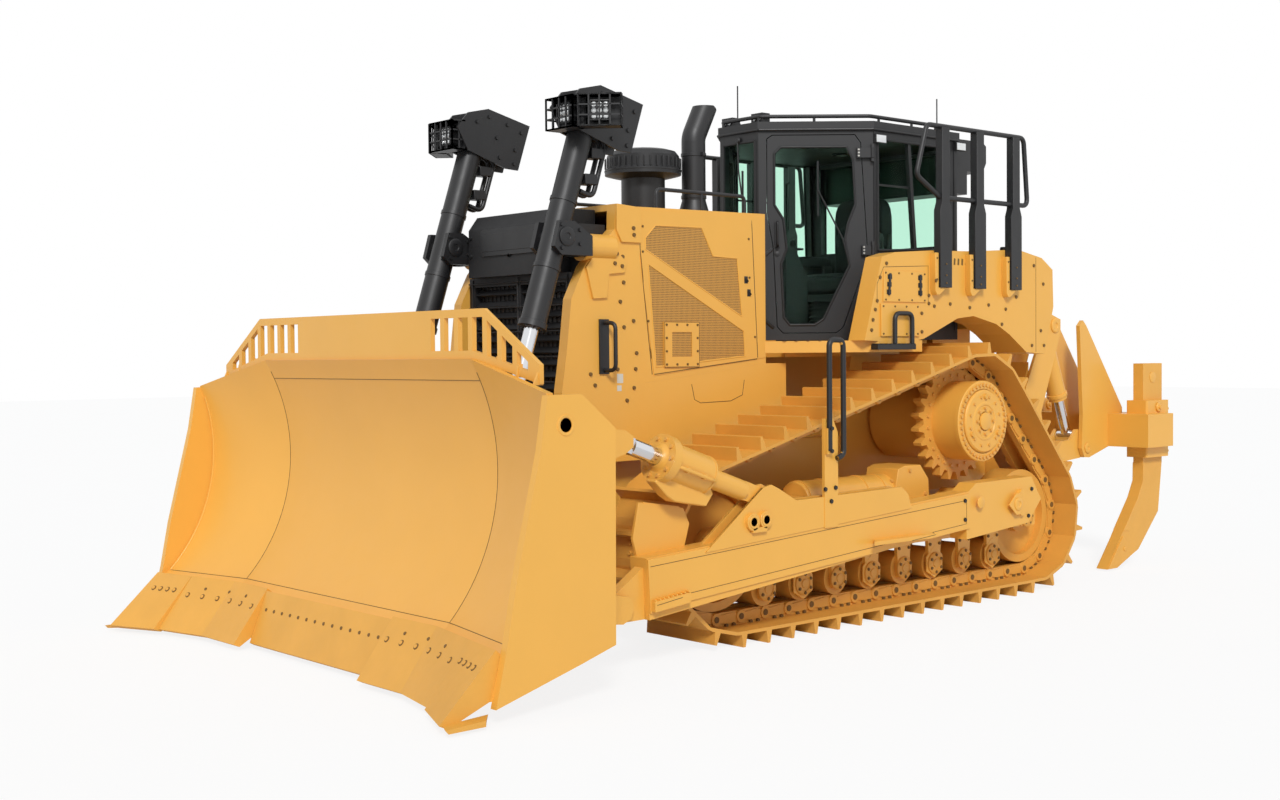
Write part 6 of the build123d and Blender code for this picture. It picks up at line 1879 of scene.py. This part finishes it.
# ---- decks, fenders and rails
@dataclass
class DeckDress:
    """Bolts, hinges, slots, steps and caps of the fenders and the tank."""

    outer: float = 1105
    reach: float = 1300

    def build(self) -> None:
        """Build every piece of the decks' dress."""
        skins = ("fender_left", "fender_right", "fender_hatches")
        bolts = Seated("fender_bolts", Head.ROUND, 13, 8, Finishes.SEAM)
        bolts.flanks(skins, [(331, 2399), (262, 2301), (815, 2291), (795, 2187), (795, 2130), (230, 2140),
            (210, 2080), (715, 2060), (857, 2112), (1271, 2107), (1713, 2102), (1665, 1989), (2167, 1943),
            (1846, 2195), (2209, 1830), (2076, 2437), (2200, 2300), (170, 1940), (185, 2010), (715, 1930),
            (1040, 2130), (1500, 2130), (2050, 1830)], self.reach)
        bolts.piece()
        small = Seated("hatch_bolts", Head.ROUND, 7, 5, Finishes.SEAM)
        small.flanks(skins, [(y, z) for y in spaced(282, 654, 4) for z in (1915, 2104)], self.reach)
        small.flanks(skins, [(y, z) for y in spaced(315, 740, 4) for z in (2150, 2334)], self.reach)
        for side in SIDES:
            for y in POST_YS:
                for dy, z in ((0, 2275), (0, 2330), (0, 2410), (-90, 2450), (-90, 2300)):
                    small.seat(skins + ("deck_posts",), (side * self.reach, y + dy, z), (-side, 0, 0))
        small.piece()
        hinges, slots, steps, caps = Shape(), Shape(), Shape(), Shape()
        for side in SIDES:
            for (y0, z0), (y1, z1) in (((360, 2330), (345, 2180)), ((690, 2330), (690, 2180))):
                x = side * (self.outer + 12)
                hinges.tube([(x, y0, z0), (x, y1, z1)], 9, sides=10)
                for share in (0.15, 0.5, 0.85):
                    y, z = y0 + (y1 - y0) * share, z0 + (z1 - z0) * share
                    hinges.box((side * (self.outer + 6), y - 22, z - 16),
                        (side * (self.outer + 12), y + 22, z + 16))
            for y in (1094, 1139, 1184, 1229):
                slots.prism([(y - 10, 2414), (y + 8, 2410), (y + 12, 2456), (y - 6, 2460)], side * self.outer,
                    side * (self.outer + 1.2))
            for y in spaced(180, 560, 9):
                steps.box((side * 1108, y - 9, 1842), (side * 1166, y + 9, 1848))
            for y in spaced(-250, 640, 15):
                edge = min(1090, 620 + (y + 350) * 0.8)
                steps.box((side * max(620, 200 + y), y - 12, 1870), (side * edge, y + 12, 1877))
            caps.turned((side * 330, 2080, 2539), (0, 0, 1), [(78, 0), (78, 22), (64, 32), (20, 34), (16, 50),
                (0, 50)], 32)
            caps.turned((side * 900, 1990, 2545), (0, 0, 1), [(34, -10), (34, 30), (28, 42), (0, 42)], 24)
        hinges.piece("hatch_hinges", Finishes.BLACK, bevel=1)
        slots.piece("fender_slots", Finishes.SEAM)
        steps.piece("step_treads", Finishes.BLACK, bevel=1)
        caps.piece("filler_caps", Finishes.BLACK, bevel=1)
        lines = Shape()
        seams(lines, skins, [[(232, 2140), (232, 2370), (790, 2395), (790, 2125)],
            [(2105, 1780), (2105, 2500)]], self.reach, 2)
        lines.piece("fender_seams", Finishes.SEAM)


# ---- ripper
@dataclass
class RipperDress:
    """Pin caps, glands, tip and lock pins of the ripper."""

    lift_x: float = 710
    tilt_x: float = 480
    low_pin: Flat = (2560, 930)
    beam_pin: Flat = (3205, 985)
    top_pin: Flat = (3140, 1960)
    tilt_head: Flat = (2495, 1905)
    lift_head: Flat = (2750, 1990)
    lift_eye: Flat = (3130, 1075)
    shank_x: float = 1060

    def build(self) -> None:
        """Build every piece of the ripper's dress."""
        self._caps()
        self._cylinders()
        self._shank()

    def _caps(self) -> None:
        """Caps on the ends of the pins."""
        places = (("mount_pin_caps", ("ripper_mount",), Body.MACHINE,
            ((self.low_pin, self.lift_x), (self.lift_head, self.lift_x), (self.tilt_head, self.tilt_x))),
            ("frame_pin_caps", ("ripper_frame",), Body.RIPPER, ((self.top_pin, self.tilt_x),)))
        profile = [(58, 0), (58, 8), (50, 14), (24, 14), (20, 8), (0, 8)]
        for name, parts, body, spots in places:
            caps = Shape()
            for side in SIDES:
                for (y, z), x in spots:
                    place = Skin.hit(parts, (side * (x + 190), y, z), (-side, 0, 0))
                    if place:
                        caps.turned(place[0], (side, 0, 0), profile, 28)
            caps.piece(name, Finishes.YELLOW, body, bevel=1)
        beam = Shape()
        for side in SIDES:
            y, z = self.beam_pin
            beam.turned((side * 857, y, z), (side, 0, 0), [(44, 0), (44, 8), (38, 12), (14, 12), (12, 6),
                (0, 6)], 28)
        beam.piece("beam_pin_caps", Finishes.YELLOW, Body.RIPPER_PINS, bevel=1)
        bolts = Seated("ripper_bolts", Head.HEX, 15, 12, Finishes.BOLT_YELLOW)
        for side in SIDES:
            for y, z in ((2400, 850), (2400, 1000), (2400, 1150), (2400, 1300)):
                bolts.seat(("ripper_mount",), (side * 960, y, z), (-side, 0, 0))
            for x, z in ((350, 1650), (350, 1500), (150, 1650), (150, 850), (350, 850)):
                bolts.seat(("ripper_mount",), (side * x, 2900, z), (0, -1, 0))
        bolts.piece()

    def _cylinders(self) -> None:
        """Glands and pipes of the four ripper cylinders."""
        lift, tilt = Shape(), Shape()
        for side in SIDES:
            ram = Cylinder(side * self.lift_x, self.lift_head, self.lift_eye)
            ram.collar(lift, 592, [(76, 0), (84, 3), (84, 28), (72, 34), (42, 34), (42, 28)])
            ram.collar(lift, 110, [(75, 0), (82, 3), (82, 20), (75, 22)])
            lift.tube([ram.point(140, 70, 0), ram.point(160, 98, 0), ram.point(560, 98, 0),
                ram.point(590, 72, 0)], 10, 22)
            ram = Cylinder(side * self.tilt_x, self.tilt_head, self.top_pin)
            ram.collar(tilt, 402, [(76, 0), (83, 3), (83, 24), (72, 30), (42, 30), (42, 24)])
            ram.collar(tilt, 104, [(75, 0), (82, 3), (82, 20), (75, 22)])
            tilt.tube([ram.point(130, 70, 0), ram.point(146, 96, 0), ram.point(370, 96, 0),
                ram.point(386, 72, 0)], 10, 20)
        lift.piece("ripper_lift_glands", Finishes.YELLOW, Body.RIPPER_LIFT_BARRELS)
        tilt.piece("ripper_tilt_glands", Finishes.YELLOW, Body.RIPPER_TILT_BARRELS)

    def _shank(self) -> None:
        """Replaceable tip, shin guard and lock pins of the shank."""
        tip, locks = Shape(), Shape()
        x = self.shank_x
        tip.prism([(3100, 14), (3232, 14), (3420, 88), (3392, 190), (3330, 262), (3296, 236)], x - 56, x + 56)
        tip.turned((x + 56, 3345, 160), (1, 0, 0), [(20, 0), (20, 4), (14, 8), (0, 8)], 16)
        tip.turned((x - 56, 3345, 160), (-1, 0, 0), [(20, 0), (20, 4), (14, 8), (0, 8)], 16)
        tip.prism([(3338, 306), (3420, 300), (3630, 560), (3652, 840), (3640, 850), (3636, 700), (3556, 562)],
            x - 50, x + 50)
        tip.piece("ripper_tip", Finishes.WORN_YELLOW, Body.RIPPER, bevel=5)
        for px in (-x, 0, x):
            for face in SIDES:
                locks.turned((px + face * 99, 3790, 1310), (face, 0, 0),
                    [(40, 0), (40, 8), (34, 14), (16, 14), (16, 26), (0, 26)], 24)
            locks.box((px - 92, 3930, 1285), (px + 92, 3972, 1302))
            locks.box((px - 92, 3930, 930), (px + 92, 3972, 947))
        locks.turned((x + 45, 3790, 1560), (1, 0, 0), [(38, 0), (46, 0), (46, 4), (38, 6)], 24)
        locks.turned((x - 45, 3790, 1560), (-1, 0, 0), [(38, 0), (46, 0), (46, 4), (38, 6)], 24)
        locks.piece("pocket_locks", Finishes.YELLOW, Body.RIPPER, bevel=2)


ASSEMBLIES = (ArmForms, TrackFrameForms, HoodForms, AccessForms, LampCages, BladeDress, PushArmDress,
    BladeCylinders, LampHeads, Undercarriage, HoodDress, AirDress, CabDress, DeckDress, RipperDress)


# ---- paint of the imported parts
class Paintwork:
    """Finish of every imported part."""

    PAINT: dict[str, Finish] = {"track_left": Finishes.TRACK_YELLOW, "track_right": Finishes.TRACK_YELLOW,
        "track_rollers": Finishes.TRACK_YELLOW, "idlers": Finishes.TRACK_YELLOW,
        "sprockets": Finishes.TRACK_YELLOW, "hood_screens": Finishes.SCREEN,
        "ripper_shank": Finishes.WORN_YELLOW, "ripper_pins": Finishes.WORN_YELLOW,
        "cutting_edges": Finishes.WORN_YELLOW, "engine_block": Finishes.DULL_BLACK,
        "radiator_grille": Finishes.DULL_BLACK, "exhaust_stack": Finishes.BLACK,
        "air_precleaner": Finishes.BLACK, "deck_rails": Finishes.BLACK, "antennas": Finishes.BLACK,
        "work_lamps": Finishes.BLACK, "lamp_heads": Finishes.BLACK, "lift_barrels": Finishes.BLACK,
        "lift_yokes": Finishes.BLACK, "cab_frame": Finishes.BLACK, "door_left": Finishes.BLACK,
        "door_right": Finishes.BLACK, "ac_unit": Finishes.BLACK, "cab_glass": Finishes.GLASS,
        "door_glass_left": Finishes.GLASS, "door_glass_right": Finishes.GLASS, "operator_seat": Finishes.SEAT,
        "operator_console": Finishes.PLASTIC, "lift_rods": Finishes.CHROME, "tilt_rods": Finishes.CHROME,
        "ripper_lift_rods": Finishes.CHROME, "ripper_tilt_rods": Finishes.CHROME,}

    def dress(self) -> None:
        """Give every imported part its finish; what isn't listed is machine yellow."""
        for name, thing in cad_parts.items():
            finish = self.PAINT.get(name, Finishes.YELLOW)
            thing.data.materials.clear()
            thing.data.materials.append(Finishes.get(finish))
            LOG.info("%s: %s", name, finish.name)


# ---- studio
@dataclass
class Studio:
    """Pale floor, soft light and the camera."""

    camera_spot: Point = (7.93472914, -7.98402832, 1.78829284)
    heading: float = 48.48748985
    dip: float = 1.69167614
    roll: float = -0.5142702
    lens: float = 43.42
    floor_half: float = 60
    sun_strength: float = 2.15
    sun_turn: Point = (54, 0, 52)
    sun_width: float = 12
    sky: float = 0.5
    floor_glow: float = 0.85

    def build(self) -> None:
        """Make the floor, the lights, the world and the camera."""
        self._floor()
        self._world()
        self._sun()
        self._camera()

    def _floor(self) -> None:
        """Pale floor that keeps the machine's shadow."""
        data = bpy.data.meshes.new("floor")
        half = self.floor_half
        data.from_pydata([(-half, -half, 0), (half, -half, 0), (half, half, 0), (-half, half, 0)], [],
            [(0, 1, 2, 3)])
        floor = stand("floor", data)
        material = bpy.data.materials.new("floor_pale")
        graph = Graph(material)
        surface = graph.node("BsdfPrincipled", {"Roughness": 0.9})
        tone = graph.ramp(graph.noise(0.7, 2), [(0.2, (0.86, 0.86, 0.855)), (0.8, (0.88, 0.88, 0.875))])
        graph.link(tone, surface.inputs["Base Color"])
        seen = graph.node("LightPath").outputs["Is Camera Ray"]
        graph.close(graph.mix(graph.math("MULTIPLY", seen, self.floor_glow), surface, graph.node("Emission")))
        data.materials.append(material)

    def _world(self) -> None:
        """White where it is looked at, soft grey light otherwise."""
        world = bpy.data.worlds.new("studio")
        graph = Graph(world, "OutputWorld")
        light = graph.node("Background", {"Color": (0.94, 0.97, 1, 1), "Strength": self.sky})
        white = graph.node("Background", {"Color": (1, 1, 1, 1), "Strength": 1})
        rays = graph.node("LightPath").outputs
        seen = graph.math("MAXIMUM", rays["Is Camera Ray"], rays["Is Glossy Ray"])
        seen = graph.math("MAXIMUM", seen, rays["Is Transmission Ray"])
        graph.close(graph.mix(seen, light, white))
        bpy.context.scene.world = world

    def _sun(self) -> None:
        """Soft sun."""
        data = bpy.data.lights.new("key", "SUN")
        data.energy = self.sun_strength
        data.angle = radians(self.sun_width)
        stand("key", data).rotation_euler = tuple(radians(value) for value in self.sun_turn)

    def _camera(self) -> None:
        """Camera at the real viewing angle."""
        a, p, r = radians(self.heading), radians(self.dip), radians(self.roll)
        ahead = Vector((-sin(a) * cos(p), cos(a) * cos(p), -sin(p)))
        right = Vector((cos(a), sin(a), 0))
        up = right.cross(ahead)
        right, up = right * cos(r) + up * sin(r), up * cos(r) - right * sin(r)
        data = bpy.data.cameras.new("camera")
        data.lens = self.lens
        data.sensor_width = 36
        data.clip_end = 500
        camera = stand("camera", data)
        turn = Matrix((right, up, -ahead)).transposed().to_4x4()
        camera.matrix_world = Matrix.Translation(self.camera_spot) @ turn
        bpy.context.scene.camera = camera


def view_settings() -> None:
    """Plain colour rendering."""
    bpy.context.scene.view_settings.view_transform = "Standard"


def main() -> None:
    """Build the machine's dress in order."""
    logging.basicConfig(level=logging.INFO, format="%(name)s: %(message)s")
    Studio().build()
    view_settings()
    Paintwork().dress()
    for assembly in ASSEMBLIES:
        LOG.info("%s", assembly.__name__)
        assembly().build()


if __name__ == "__main__":
    main()
